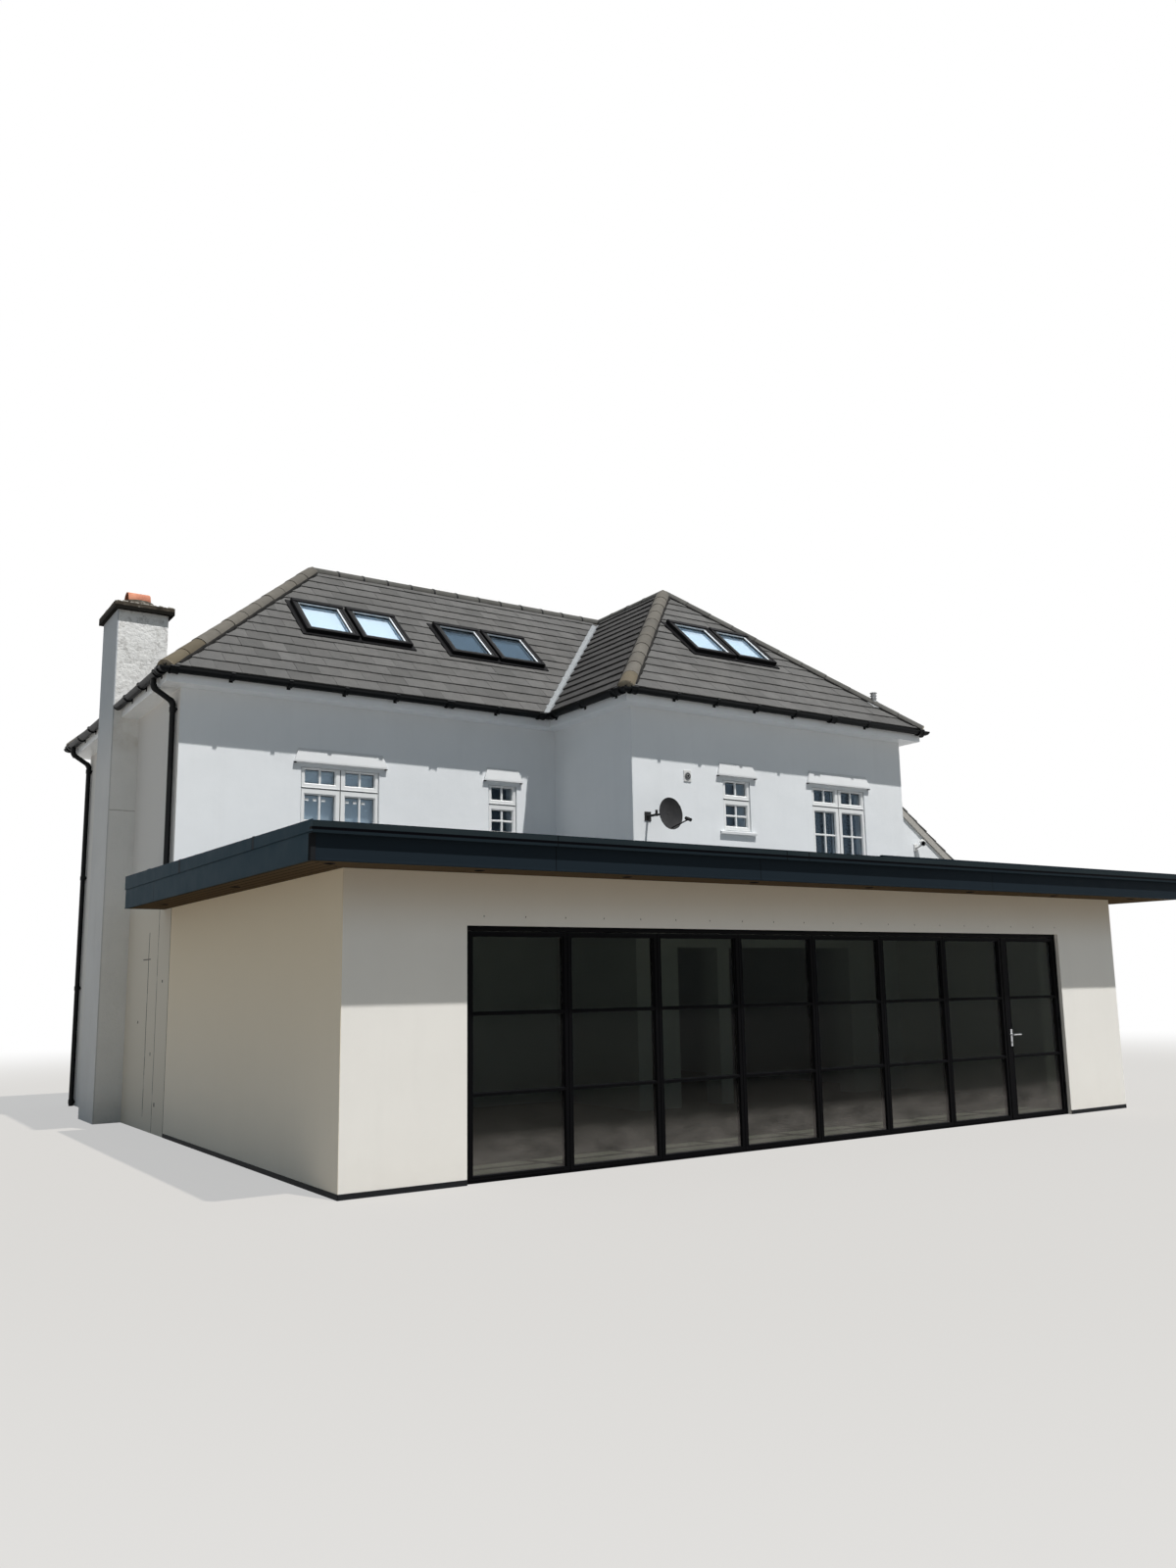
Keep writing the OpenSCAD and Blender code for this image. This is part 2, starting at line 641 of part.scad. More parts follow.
gutter_r = gutter_w / 2;
gutter_t = 4;
gutter_z = fascia_top - 2;
module gutter_section() translate([gutter_r, gutter_z]) difference() {
    circle(r = gutter_r, $fn = 48);
    circle(r = gutter_r - gutter_t, $fn = 48);
    translate([-gutter_w, 0]) square([2 * gutter_w, gutter_w]);
}
module eaves_gutter() color(black) place() {
    inner = house_points(fascia_out);
    difference() {
        for (i = [0 : 5]) {
            run = inner[(i + 1) % 6] - inner[i];
            intersection() {
                translate([inner[i][0], inner[i][1], 0]) rotate([0, 0, atan2(run[1], run[0]) + 180])
                    translate([-norm(run) - gutter_out, 0, 0]) rotate([90, 0, 90])
                        linear_extrude(norm(run) + 2 * gutter_out) gutter_section();
                linear_extrude(sky_z) run_plan(i, fascia_out, gutter_out);
            }
        }
        chimney_space();
    }
    lean_gutter();
}

// Downpipes with a swan neck from the gutter to the wall, drawn on a wall whose face is the plane X = 0
pipe_r = 34;
pipe_off = 45;
bend_r = 75;
bend_wall = 5;
push_in = 10;
neck_top = gutter_z - gutter_r;
neck_drop = 100;
neck_fall = 150;
gutter_line = fascia_out + gutter_r;
neck_turn = atan2(gutter_line - pipe_off, neck_fall);
bend_leg = bend_r * tan(neck_turn / 2);
socket_h = 60;
socket_r = pipe_r + 6;
strap_t = 20;
strap_w = 100;
strap_spacing = 1800;

// A pipe bend that the straight pipes push into: it starts downwards at the distance bend_r
module pipe_bend() rotate([-90, 0, 0]) rotate_extrude(angle = neck_turn, $fn = 64)
    translate([bend_r, 0]) circle(r = pipe_r + bend_wall, $fn = 32);

module swan_neck() {
    top_corner = [gutter_line, 0, neck_top - neck_drop];
    low_corner = [pipe_off, 0, neck_top - neck_drop - neck_fall];
    down = [-sin(neck_turn), 0, -cos(neck_turn)];
    straight = bend_leg - push_in;
    translate(top_corner + [0, 0, straight]) cylinder(r = pipe_r, h = neck_drop - straight, $fn = 32);
    translate(top_corner + [-bend_r, 0, bend_leg]) pipe_bend();
    rod(top_corner + straight * down, low_corner - straight * down, pipe_r);
    translate(low_corner + [bend_r, 0, -bend_leg]) rotate([0, 180, 0]) pipe_bend();
}

module downpipe(foot) {
    pipe_top = neck_top - neck_drop - neck_fall - bend_leg + push_in;
    straps = round((pipe_top - foot) / strap_spacing);
    spacing = (pipe_top - foot - 2 * socket_h) / straps;
    swan_neck();
    translate([pipe_off, 0, foot]) cylinder(r = pipe_r, h = pipe_top - foot, $fn = 32);
    // Sockets, each held by a bracket on the wall
    for (i = [0 : straps]) translate([0, 0, pipe_top - 1.5 * socket_h - i * spacing]) {
        translate([pipe_off, 0, 0]) cylinder(r = socket_r, h = socket_h, $fn = 32);
        translate([0, -strap_w / 2, (socket_h - strap_t) / 2]) cube([pipe_off, strap_w, strap_t]);
    }
}

// From the left eaves down to the flat roof, and by the street corners down to the ground
street_pipe_y = street_y - 130;
garden_pipe_y = main_y + 150;
flat_roof_top = ext_h + edge_h + roof_fall;
module downpipes() color(black) place() {
    translate([0, garden_pipe_y, 0]) mirror([1, 0, 0]) downpipe(flat_roof_top - 10);
    translate([0, street_pipe_y, 0]) mirror([1, 0, 0]) downpipe(0);
    translate([house_w, street_pipe_y, 0]) downpipe(0);
}

// Chimney: breast on the wall, stack through the roof, cap and the tile on it
module chimney_stack() color(white) place() difference() {
    chimney_space();
    box([-chimney_out - eps, chimney_y - eps, -2 * eps], [0, chimney_y + chimney_l + eps, 0]);
}
flaunching_h = 140;
flaunching_foot_r = 300;
flaunching_top_r = 215;
module chimney_cap() color([0.3, 0.29, 0.27]) place() {
    box([-chimney_out - cap_out, chimney_y - cap_out, chimney_h],
        [chimney_out + cap_out, chimney_y + chimney_l + cap_out, chimney_h + cap_t]);
    translate([0, chimney_y + chimney_l / 2, chimney_h + cap_t])
        cylinder(r1 = flaunching_foot_r, r2 = flaunching_top_r, h = flaunching_h, $fn = 48);
}
cap_tile_r = 145;
cap_tile_t = 15;
cap_tile_l = 290;
module chimney_tile() color([0.72, 0.36, 0.25]) place()
    translate([-cap_tile_l / 2, chimney_y + chimney_l / 2, chimney_h + cap_t + flaunching_h])
        rotate([0, 90, 0]) difference() {
            cylinder(r = cap_tile_r, h = cap_tile_l, $fn = 48);
            translate([0, 0, -eps]) cylinder(r = cap_tile_r - cap_tile_t, h = cap_tile_l + 2 * eps, $fn = 48);
            translate([0, -cap_tile_r - eps, -eps])
                cube([cap_tile_r + eps, 2 * cap_tile_r + 2 * eps, cap_tile_l + 2 * eps]);
        }

module window_frames() color(white) place() all_windows() window_frame($w);
module window_glass() color([0.6, 0.7, 0.75, 0.4]) place() {
    all_windows() window_pane($w);
    each_rooflight(rooflight_pairs)
        translate([-rooflight_w / 2 + rooflight_rim, -rooflight_l / 2 + rooflight_rim, rooflight_glass_up])
            cube([rooflight_w - 2 * rooflight_rim, rooflight_l - 2 * rooflight_rim, glass_t]);
}
module window_hoods_and_sills() color(white) place() all_windows() {
    window_hood($w);
    window_sill($w);
}

// Satellite dish on its bracket at the wing's corner
dish_r = 205;
dish_depth = 45;
dish_t = 8;
dish_bracket = [wing_x + 230, wing_y, 3710];
dish_centre = [wing_x + 340, wing_y - 300, 3710];
dish_turn = [86, 0, 8];
dish_plate = [100, 8, 120];
dish_arm = 190;
mast_r = 16;
mast_low = 20;
mast_high = 60;
module satellite_dish() color([0.22, 0.22, 0.23]) place() {
    mast = dish_bracket - [0, dish_arm, 0];
    translate(dish_bracket - [dish_plate[0] / 2, dish_plate[1], dish_plate[2] / 2]) cube(dish_plate);
    rod(dish_bracket - [0, dish_plate[1] / 2, 0], mast, mast_r);
    rod(mast - [0, 0, mast_low], mast + [0, 0, mast_high], mast_r);
    rod(mast, dish_centre, mast_r - 2);
    translate(dish_centre) rotate(dish_turn) dish_bowl();
}
function dish_curve(r) = dish_depth * pow(r / dish_r, 2);

// The bowl opens along Z, and its lowest edge is at -Y
receiver_arm_r = 9;
receiver_r = 22;
receiver_low = 130;
receiver_out = 340;
module dish_bowl() {
    steps = 8;
    rotate_extrude($fn = 48) polygon(concat(
        [for (i = [0 : steps]) [dish_r * i / steps, dish_curve(dish_r * i / steps)]],
        [for (i = [steps : -1 : 0]) [dish_r * i / steps, dish_curve(dish_r * i / steps) - dish_t]]
    ));
    // The arm from the dish's low edge to the receiver in front of it, which looks back at the bowl
    arm_foot = [0, 20 - dish_r, dish_curve(dish_r - 20) - dish_t];
    receiver = [0, -receiver_low, receiver_out];
    rod(arm_foot, receiver, receiver_arm_r);
    rod(receiver - [0, 15, -30], receiver + [0, 25, -50], receiver_r);
}

// Street door, closed: a panelled leaf against the stops of its frame
street_door_in = 90;
street_door_t = 44;
street_frame_t = 70;
street_frame_w = 55;
street_stop = 14;
street_gap = 3;
panel_edge = 110;
panel_rows = [[190, 620], [940, 880]];
panel_in = 10;
module front_door() color([0.16, 0.18, 0.2]) place() at_street(doorway) translate([0, street_door_in, 0]) {
    leaf_w = doorway[2] - 2 * street_frame_w - 2 * street_gap;
    panel_w = (leaf_w - 3 * panel_edge) / 2;
    difference() {
        cube([doorway[2], street_frame_t, doorway[3]]);
        translate([street_frame_w, -eps, -eps])
            cube([doorway[2] - 2 * street_frame_w, street_door_t + eps, doorway[3] - street_frame_w + eps]);
        translate([street_frame_w + street_stop, -eps, -eps]) cube([
            doorway[2] - 2 * (street_frame_w + street_stop), street_frame_t + 2 * eps,
            doorway[3] - street_frame_w - street_stop + eps
        ]);
    }
    translate([street_frame_w + street_gap, 0, street_gap]) difference() {
        cube([leaf_w, street_door_t, doorway[3] - street_frame_w - 2 * street_gap]);
        for (row = panel_rows, column = [0, 1], face = [-eps, street_door_t - panel_in])
            translate([panel_edge + column * (panel_w + panel_edge), face, row[0]])
                cube([panel_w, panel_in + eps, row[1]]);
    }
}

// Lean-to at the right side
lean_x1 = house_w + lean_w;
lean_y1 = lean_y + lean_l;
lean_x2 = lean_x1 + lean_eave;
function lean_z(x) = lean_top - (x - house_w) * lean_slope;

// Extrudes an outline in X and Z from one Y to another
module along_y(from, to) translate([0, to, 0]) rotate([90, 0, 0]) linear_extrude(to - from) children();

module lean_to_walls() color(white) place() intersection() {
    linear_extrude(lean_top) difference() {
        translate([house_w, lean_y]) square([lean_w, lean_l]);
        translate([house_w, lean_y + lean_wall]) square([lean_w - lean_wall, lean_l - 2 * lean_wall]);
    }
    along_y(lean_y - eps, lean_y1 + eps) polygon([
        [house_w, 0], [lean_x1, 0],
        [lean_x1, lean_z(lean_x1) - lean_plate - bed], [house_w, lean_top - lean_plate - bed]
    ]);
}
module lean_to_roof() color(slate) place() along_y(lean_y, lean_y1) polygon([
    [house_w, lean_top], [lean_x2, lean_z(lean_x2)], [lean_x2, lean_z(lean_x2) - lean_eave_t],
    [lean_x2 - (lean_plate - lean_eave_t) / lean_slope, lean_z(lean_x2) - lean_eave_t],
    [house_w, lean_top - lean_plate]
]);

// Verge boards that close the roof's edge and the top of the end walls
verge_t = 24;
verge_up = 8;
verge_h = 135;
module lean_boards() for (y = [lean_y - bed - verge_t, lean_y1 + bed]) along_y(y, y + verge_t) polygon([
    [house_w, lean_top + verge_up], [lean_x2, lean_z(lean_x2) + verge_up],
    [lean_x2, lean_z(lean_x2) + verge_up - verge_h], [house_w, lean_top + verge_up - verge_h]
]);
module lean_gutter() translate([lean_x2, lean_y, lean_z(lean_x2) - fascia_top])
    rotate([90, 0, 180]) linear_extrude(lean_l) mirror([1, 0]) gutter_section();

ground_slab();
upper_floors();
extension_left_wall();
extension_right_wall();
extension_pier_left();
extension_pier_right();
extension_door_head();
extension_roof_deck();
extension_soffit();
extension_fascia();
extension_roof_edging();
door_frame();
folding_leaves();
folding_glass();
access_door();
access_door_glass();
access_door_handle();
left_wall();
main_garden_wall();
wing_side_wall();
wing_garden_wall();
right_wall();
street_wall();
roof_garden_slope();
roof_left_slope();
roof_street_slope();
roof_right_slope();
wing_garden_slope();
wing_left_slope();
ridge_and_hip_tiles();
valley_strip();
rooflight_frames();
eaves_boards();
eaves_gutter();
downpipes();
chimney_stack();
chimney_cap();
chimney_tile();
window_frames();
window_glass();
window_hoods_and_sills();
satellite_dish();
front_door();
lean_to_walls();
lean_to_roof();
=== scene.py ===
import math
import random
import bmesh
import bpy
from mathutils import Matrix, Vector


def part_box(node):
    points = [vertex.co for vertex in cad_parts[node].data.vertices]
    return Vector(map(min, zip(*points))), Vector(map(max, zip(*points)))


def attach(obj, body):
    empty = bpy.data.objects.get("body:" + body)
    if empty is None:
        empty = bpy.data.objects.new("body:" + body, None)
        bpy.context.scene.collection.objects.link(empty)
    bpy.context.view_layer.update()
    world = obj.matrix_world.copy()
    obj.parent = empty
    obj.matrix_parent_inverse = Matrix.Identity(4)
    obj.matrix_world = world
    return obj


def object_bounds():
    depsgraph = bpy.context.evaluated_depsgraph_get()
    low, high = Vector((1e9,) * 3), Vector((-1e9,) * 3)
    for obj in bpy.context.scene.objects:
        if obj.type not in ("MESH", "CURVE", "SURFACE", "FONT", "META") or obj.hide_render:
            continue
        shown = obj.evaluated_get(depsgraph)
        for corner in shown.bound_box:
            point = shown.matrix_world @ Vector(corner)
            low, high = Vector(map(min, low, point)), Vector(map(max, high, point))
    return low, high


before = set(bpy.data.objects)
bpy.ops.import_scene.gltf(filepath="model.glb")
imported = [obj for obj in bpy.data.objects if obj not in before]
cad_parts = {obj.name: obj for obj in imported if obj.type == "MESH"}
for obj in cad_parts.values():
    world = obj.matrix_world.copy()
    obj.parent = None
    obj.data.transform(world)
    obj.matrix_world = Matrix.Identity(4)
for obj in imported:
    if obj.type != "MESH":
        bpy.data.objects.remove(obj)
cad_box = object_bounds()
random.seed(7)

# Plan frame: metres from the extension's garden corner, X along the garden side, Y towards the street
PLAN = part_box("extension_left_wall")[0]
HOUSE_W = (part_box("right_wall")[1] - PLAN).x
MAIN_Y = (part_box("main_garden_wall")[0] - PLAN).y
WING_X = (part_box("wing_side_wall")[0] - PLAN).x
WING_Y = (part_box("wing_garden_wall")[0] - PLAN).y
STREET_Y = (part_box("street_wall")[1] - PLAN).y
FLAT_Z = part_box("extension_soffit")[0].z
CHIMNEY_LOW, CHIMNEY_HIGH = [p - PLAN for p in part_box("chimney_stack")]
CAP_LOW, CAP_HIGH = [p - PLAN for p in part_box("chimney_cap")]
FASCIA_LOW, FASCIA_HIGH = [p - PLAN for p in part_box("extension_fascia")]
LEAN_LOW, LEAN_HIGH = [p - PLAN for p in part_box("lean_to_roof")]
LEAN_EDGE = Vector((LEAN_HIGH.x, 0, LEAN_LOW.z + 0.040))

# Roof, as in the frame: slopes of one pitch from an edge that stands over the gutter
PITCH = math.radians(42)
TILE_OUT = 0.260
EDGE_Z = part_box("roof_street_slope")[0].z + 0.038
RIDGE_Z = EDGE_Z + ((STREET_Y - MAIN_Y) / 2 + TILE_OUT) * math.tan(PITCH)
SOFFIT_Z = EDGE_Z - 0.188


def placed(name, data):
    """A new object in the scene."""
    made = bpy.data.objects.new(name, data)
    bpy.context.scene.collection.objects.link(made)
    return made


# Camera at the photograph's place

CAMERA_PLACE = Vector((-3.646, -8.998, 1.580))
CAMERA_YAW, CAMERA_PITCH, CAMERA_ROLL = 0.5880, 0.16686, -0.01673
PHOTO_FOCAL_PX = 1223.69
PHOTO_LONG_PX = 1600
SENSOR = 36.0


def make_camera():
    data = bpy.data.cameras.new("camera")
    data.sensor_width, data.lens = SENSOR, PHOTO_FOCAL_PX / PHOTO_LONG_PX * SENSOR
    data.clip_end = 400
    yaw, pitch, roll = CAMERA_YAW, CAMERA_PITCH, CAMERA_ROLL
    forward = Vector((math.sin(yaw) * math.cos(pitch), math.cos(yaw) * math.cos(pitch), math.sin(pitch)))
    level = Vector((math.cos(yaw), -math.sin(yaw), 0))
    upright = level.cross(forward)
    right = level * math.cos(roll) + upright * math.sin(roll)
    up = -level * math.sin(roll) + upright * math.cos(roll)
    camera = placed("camera", data)
    camera.matrix_world = Matrix((right, up, -forward)).transposed().to_4x4()
    camera.location = PLAN + CAMERA_PLACE
    bpy.context.scene.camera = camera


# Shader nodes

class Graph:
    """Shader nodes. A socket is fed with a number, a colour, a vector or another node's output."""

    def __init__(self, tree):
        self.nodes, self.links = tree.nodes, tree.links

    def feed(self, socket, value):
        if isinstance(value, bpy.types.NodeSocket):
            self.links.new(value, socket)
        else:
            socket.default_value = (*value, 1) if socket.type == "RGBA" else value

    def add(self, kind, inputs=None, **settings):
        node = self.nodes.new("ShaderNode" + kind)
        for name, value in settings.items():
            setattr(node, name, value)
        for socket, value in (inputs or {}).items():
            self.feed(node.inputs[socket], value)
        return node

    def maths(self, operation, *values):
        return self.add("Math", dict(enumerate(values)), operation=operation).outputs[0]

    def ramp(self, value, *stops):
        """A colour ramp through (place, colour) stops, where a number stands for a grey."""
        node = self.add("ValToRGB", {"Fac": value})
        elements = node.color_ramp.elements
        while len(elements) < len(stops):
            elements.new(0.5)
        for element, (place, colour) in zip(elements, stops):
            element.position = place
            element.color = (*colour, 1) if isinstance(colour, tuple) else (colour, colour, colour, 1)
        return node.outputs["Color"]

    def cover(self, share, below, above):
        """One shader over another."""
        return self.add("MixShader", {"Fac": share, 1: below.outputs[0], 2: above.outputs[0]})

    def seen(self):
        """1 for rays that show the background to the camera, straight, in a reflection or through glass."""
        path = self.add("LightPath").outputs
        total = path["Is Camera Ray"]
        for name in ("Is Glossy Ray", "Is Transmission Ray"):
            total = self.maths("MAXIMUM", total, path[name])
        return total


# Lights and floor

# The sun stands high in front of the house and a little to its right
SUN_TRAVEL = Vector((-0.313, 1.0, -2.45))
SUN_COLOUR, SUN_ENERGY, SUN_ANGLE = (1.0, 0.98, 0.955), 4.2, math.radians(0.8)
# The studio is darker and bluer towards the garden and the left
DIM, BRIGHT = 0.19, 0.62
DIM_COLOUR, BRIGHT_COLOUR = (0.68, 0.85, 1.0), (0.82, 0.92, 1.0)
FLOOR_COLOUR = (0.284, 0.264, 0.236)
FLOOR_HALF, FLOOR_Z = 90, -0.002
FADE_START, FADE_END = 10, 26


def make_lights():
    sun = bpy.data.lights.new("sun", "SUN")
    sun.energy, sun.angle, sun.color = SUN_ENERGY, SUN_ANGLE, SUN_COLOUR
    lamp = placed("sun", sun)
    lamp.rotation_mode = "QUATERNION"
    lamp.rotation_quaternion = SUN_TRAVEL.to_track_quat("-Z", "Y")

    world = bpy.data.worlds.new("studio")
    bpy.context.scene.world = world
    world.use_nodes = True
    g = Graph(world.node_tree)
    g.nodes.clear()
    ray = g.add("VectorMath", {0: g.add("TexCoord").outputs["Generated"], 1: (0.7, 0.7, 0.0)},
                operation="DOT_PRODUCT").outputs["Value"]
    level = g.add("MapRange", {"Value": ray, "From Min": -0.7, "From Max": 0.7,
                               "To Min": DIM, "To Max": BRIGHT}).outputs["Result"]
    tone = g.ramp(level, (DIM, DIM_COLOUR), (BRIGHT, BRIGHT_COLOUR))
    soft = g.add("Background", {"Color": tone, "Strength": level})
    white = g.add("Background", {"Color": (1, 1, 1), "Strength": 1.0})
    g.add("OutputWorld", {"Surface": g.cover(g.seen(), soft, white).outputs[0]})


def make_floor():
    """A pale floor that fades to the white background away from the house."""
    half = FLOOR_HALF
    mesh = bpy.data.meshes.new("floor")
    mesh.from_pydata([(-half, -half, 0), (half, -half, 0), (half, half, 0), (-half, half, 0)], [], [(0, 1, 2, 3)])
    floor = placed("floor", mesh)
    floor.location.z = FLOOR_Z
    material = bpy.data.materials.new("floor")
    material.use_nodes = True
    g = Graph(material.node_tree)
    g.nodes.clear()
    away = g.add("VectorMath", {0: g.add("NewGeometry").outputs["Position"]}, operation="LENGTH").outputs["Value"]
    fade = g.add("MapRange", {"Value": away, "From Min": FADE_START, "From Max": FADE_END, "To Min": 0.5},
                 interpolation_type="SMOOTHSTEP").outputs["Result"]
    surface = g.cover(g.maths("MULTIPLY", fade, g.seen()), g.add("BsdfDiffuse", {"Color": FLOOR_COLOUR}),
                      g.add("Emission"))
    g.add("OutputMaterial", {"Surface": surface.outputs[0]})
    mesh.materials.append(material)


make_camera()
make_lights()
make_floor()


# Materials

class Look(Graph):
    """A material. Its base colour is laid in layers, and the product of some shares says where each one shows."""

    def __init__(self, name):
        self.material = bpy.data.materials.new(name)
        self.material.use_nodes = True
        super().__init__(self.material.node_tree)
        self.shader = self.nodes["Principled BSDF"]
        # A point's place in plan metres. Pieces lie at the origin, so this moves with the piece
        self.place = self.add("VectorMath", {0: self.add("TexCoord").outputs["Object"], 1: PLAN},
                              operation="SUBTRACT").outputs[0]

    def shade(self, inputs):
        for socket, value in inputs.items():
            self.feed(self.shader.inputs[socket], value)

    def noise(self, scale, detail=4, rough=0.55, stretch=(1, 1, 1)):
        """A noise pattern in plan metres. stretch multiplies its scale along X, Y and Z."""
        where = self.add("Mapping", {"Vector": self.place, "Scale": stretch}).outputs[0]
        texture = self.add("TexNoise", {"Vector": where, "Scale": scale, "Detail": detail, "Roughness": rough})
        return texture.outputs["Fac"]

    def both(self, total, *shares):
        for share in shares:
            total = self.maths("MULTIPLY", total, share)
        return total

    def part_of(self, axis, low, high):
        """From 0 to 1 as the place along an axis goes from low to high."""
        value = self.add("SeparateXYZ", {0: self.place}).outputs[axis]
        return self.add("MapRange", {"Value": value, "From Min": low, "From Max": high},
                        interpolation_type="SMOOTHSTEP").outputs["Result"]

    def band(self, axis, low, high, soft=0.002):
        """1 between two places along an axis, and 0 outside them."""
        rise = self.part_of(axis, low - soft, low + soft)
        return self.maths("SUBTRACT", rise, self.part_of(axis, high - soft, high + soft))

    def along(self, direction):
        """The distance along a plan direction."""
        return self.add("VectorMath", {0: self.place, 1: direction}, operation="DOT_PRODUCT").outputs["Value"]

    def stripes(self, value, step, part):
        """1 in a thin line at every step of a value."""
        return self.maths("LESS_THAN", self.maths("FRACT", self.maths("DIVIDE", value, step)), part)

    def tint(self, colour, *shares):
        """One more colour over the base."""
        base = self.shader.inputs["Base Color"]
        below = base.links[0].from_socket if base.is_linked else base.default_value[:3]
        mix = self.add("Mix", {0: self.both(*shares), 6: below, 7: colour}, data_type="RGBA")
        self.links.new(mix.outputs[2], base)

    def relief(self, *layers):
        """Bumps of (height, distance), the later ones over the earlier ones."""
        below = None
        for height, distance in layers:
            node = self.add("Bump", {"Height": height, "Distance": distance, "Strength": 1.0})
            if below:
                self.links.new(below, node.inputs["Normal"])
            below = node.outputs["Normal"]
        self.shade({"Normal": below})


def scaled(colour, by):
    return tuple(by * c for c in colour)


def render_coat(name, pale, dark, grain, grain_depth, wave_depth=0.0015, stain=0.5):
    """Painted render: a fine grain, trowel waves, and faint damp and dust that run down."""
    g = Look(name)
    g.shade({"Base Color": g.ramp(g.noise(0.9, 5, 0.6), (0.3, dark), (0.62, pale)), "Roughness": 0.9})
    streaks = g.noise(1.4, 5, 0.65, (3.5, 3.5, 0.35))
    g.tint(scaled(dark, 0.72), g.ramp(streaks, (0.52, 0), (0.8, 0.22 * stain)))
    g.tint((0.45, 0.40, 0.33), g.ramp(g.part_of("Z", 0.0, 0.45), (0.0, 0.35 * stain), (1.0, 0)), g.noise(5, 4))
    g.relief((g.noise(2.4, 3), wave_depth * 4), (g.noise(grain, 3, 0.7), grain_depth))
    return g


def tile_material(name, pale, dark, dust):
    """Concrete tiles: each tile has its own tone, with dust, lichen, dark runs and a rough face."""
    g = Look(name)
    tone = g.add("Attribute", attribute_name="tone").outputs["Fac"]
    g.shade({"Base Color": g.ramp(tone, (0.0, dark), (1.0, pale)), "Roughness": 0.85, "Specular IOR Level": 0.25})
    g.tint(dust, g.ramp(g.noise(1.1, 5, 0.65), (0.40, 0), (0.72, 0.6)))
    g.tint(scaled(pale, 1.3), g.ramp(g.noise(38, 3, 0.7), (0.62, 0), (0.72, 0.4)))
    g.tint(scaled(dark, 0.7), g.ramp(g.noise(7, 4, 0.6), (0.35, 0.3), (0.6, 0)))
    g.relief((g.noise(30, 4, 0.6), 0.003), (g.noise(160, 3, 0.7), 0.0012))
    return g


def coated(name, colour, rough, wear, grime, scale=6.0, shine=0.5, metallic=0.0):
    """Plastic or powder-coated metal: an even coat with faint dust, smears and uneven gloss."""
    g = Look(name)
    gloss = g.ramp(g.noise(scale * 2.5, 4), (0.3, rough * 0.92), (0.75, rough * 1.12))
    g.shade({"Base Color": colour, "Roughness": gloss, "Metallic": metallic, "Specular IOR Level": shine})
    g.tint(grime, g.ramp(g.noise(scale, 5, 0.65), (0.45, 0), (0.8, wear)))
    g.relief((g.noise(90, 2), 0.0003))
    return g


def rough_stone(name, rough, grain, depth, *stops):
    """Cement, terracotta or slab: mottled through the given stops, with a grainy face."""
    g = Look(name)
    g.shade({"Base Color": g.ramp(g.noise(9, 6, 0.65), *stops), "Roughness": rough, "Specular IOR Level": 0.12})
    g.relief((g.noise(grain, 4, 0.65), depth))
    return g


def glass_material(name, clear, least, power, sheen, film=None):
    """Glazing: clear through, with a reflection that grows towards grazing views, and perhaps a film near its foot that
    is partly dust and partly painted reflection of the ground.
    """
    g = Look(name)
    g.nodes.remove(g.shader)
    steep = g.maths("POWER", g.add("LayerWeight", {"Blend": 0.5}).outputs["Facing"], power)
    surface = g.cover(g.maths("MULTIPLY_ADD", steep, 0.9, least), g.add("BsdfTransparent", {"Color": clear}),
                      g.add("BsdfGlossy", {"Color": sheen, "Roughness": 0.02}))
    if film:
        # Partly dust and partly painted reflection of the ground, strongest near the foot
        low = g.ramp(g.part_of("Z", 0.05, 0.75), (0.0, 0.24), (0.33, 0.15), (0.5, 0.045), (1.0, 0.012))
        surface = g.cover(g.both(low, g.noise(3, 5, 0.6, (1, 1, 2.2))), surface, g.add("BsdfDiffuse", {"Color": film}))
    g.feed(g.nodes["Material Output"].inputs["Surface"], surface.outputs[0])
    return g


WHITE_RENDER, LEFT_RENDER = [render_coat(name, (0.88, 0.905, 0.925), (0.84, 0.865, 0.885), 110, 0.0016)
                             for name in ("white_render", "left_render")]
# The hoods' render is the walls' white made darker: painted shade that holds back the stronger sun on their sloping
# faces
HOOD_RENDER = render_coat("hood_render", (0.735, 0.75, 0.76), (0.695, 0.71, 0.72), 110, 0.0016, stain=0.2)
CREAM_RENDER = render_coat("cream_render", (0.91, 0.89, 0.845), (0.88, 0.86, 0.815), 240, 0.0022, 0.0008, 0.35)
CHIMNEY_RENDER = render_coat("chimney_render", (0.93, 0.93, 0.915), (0.84, 0.84, 0.82), 26, 0.010, 0.006, 1.0)
# The chimney's outer coat on its left face is a darker render, painted shade
SHADED_COAT_RENDER = render_coat("shaded_coat_render", (0.72, 0.725, 0.73), (0.66, 0.665, 0.67), 60, 0.003, 0.003, 0.8)
ROOF_TILE = tile_material("roof_tile", (0.127, 0.125, 0.122), (0.084, 0.083, 0.081), (0.112, 0.108, 0.103))
# A darker copy of the roof tiles, painted shade for the slopes that face left
PAINTED_SHADE_TILE = tile_material("painted_shade_tile", (0.054, 0.053, 0.052), (0.033, 0.032, 0.032), (0.046, 0.044, 0.042))
RIDGE_TILE = tile_material("ridge_tile", (0.110, 0.108, 0.100), (0.074, 0.073, 0.067), (0.105, 0.10, 0.09))
HIP_TILE = tile_material("hip_tile", (0.142, 0.132, 0.115), (0.098, 0.092, 0.081), (0.132, 0.118, 0.095))
FOOT_TILE = tile_material("foot_tile", (0.128, 0.106, 0.070), (0.094, 0.078, 0.053), (0.12, 0.105, 0.075))
FOOT_MORTAR = rough_stone("foot_mortar", 0.95, 60, 0.003, (0.3, (0.30, 0.25, 0.18)), (0.65, (0.46, 0.41, 0.33)))
MORTAR = rough_stone("mortar", 0.95, 120, 0.004, (0.35, (0.060, 0.052, 0.040)), (0.7, (0.125, 0.108, 0.082)))
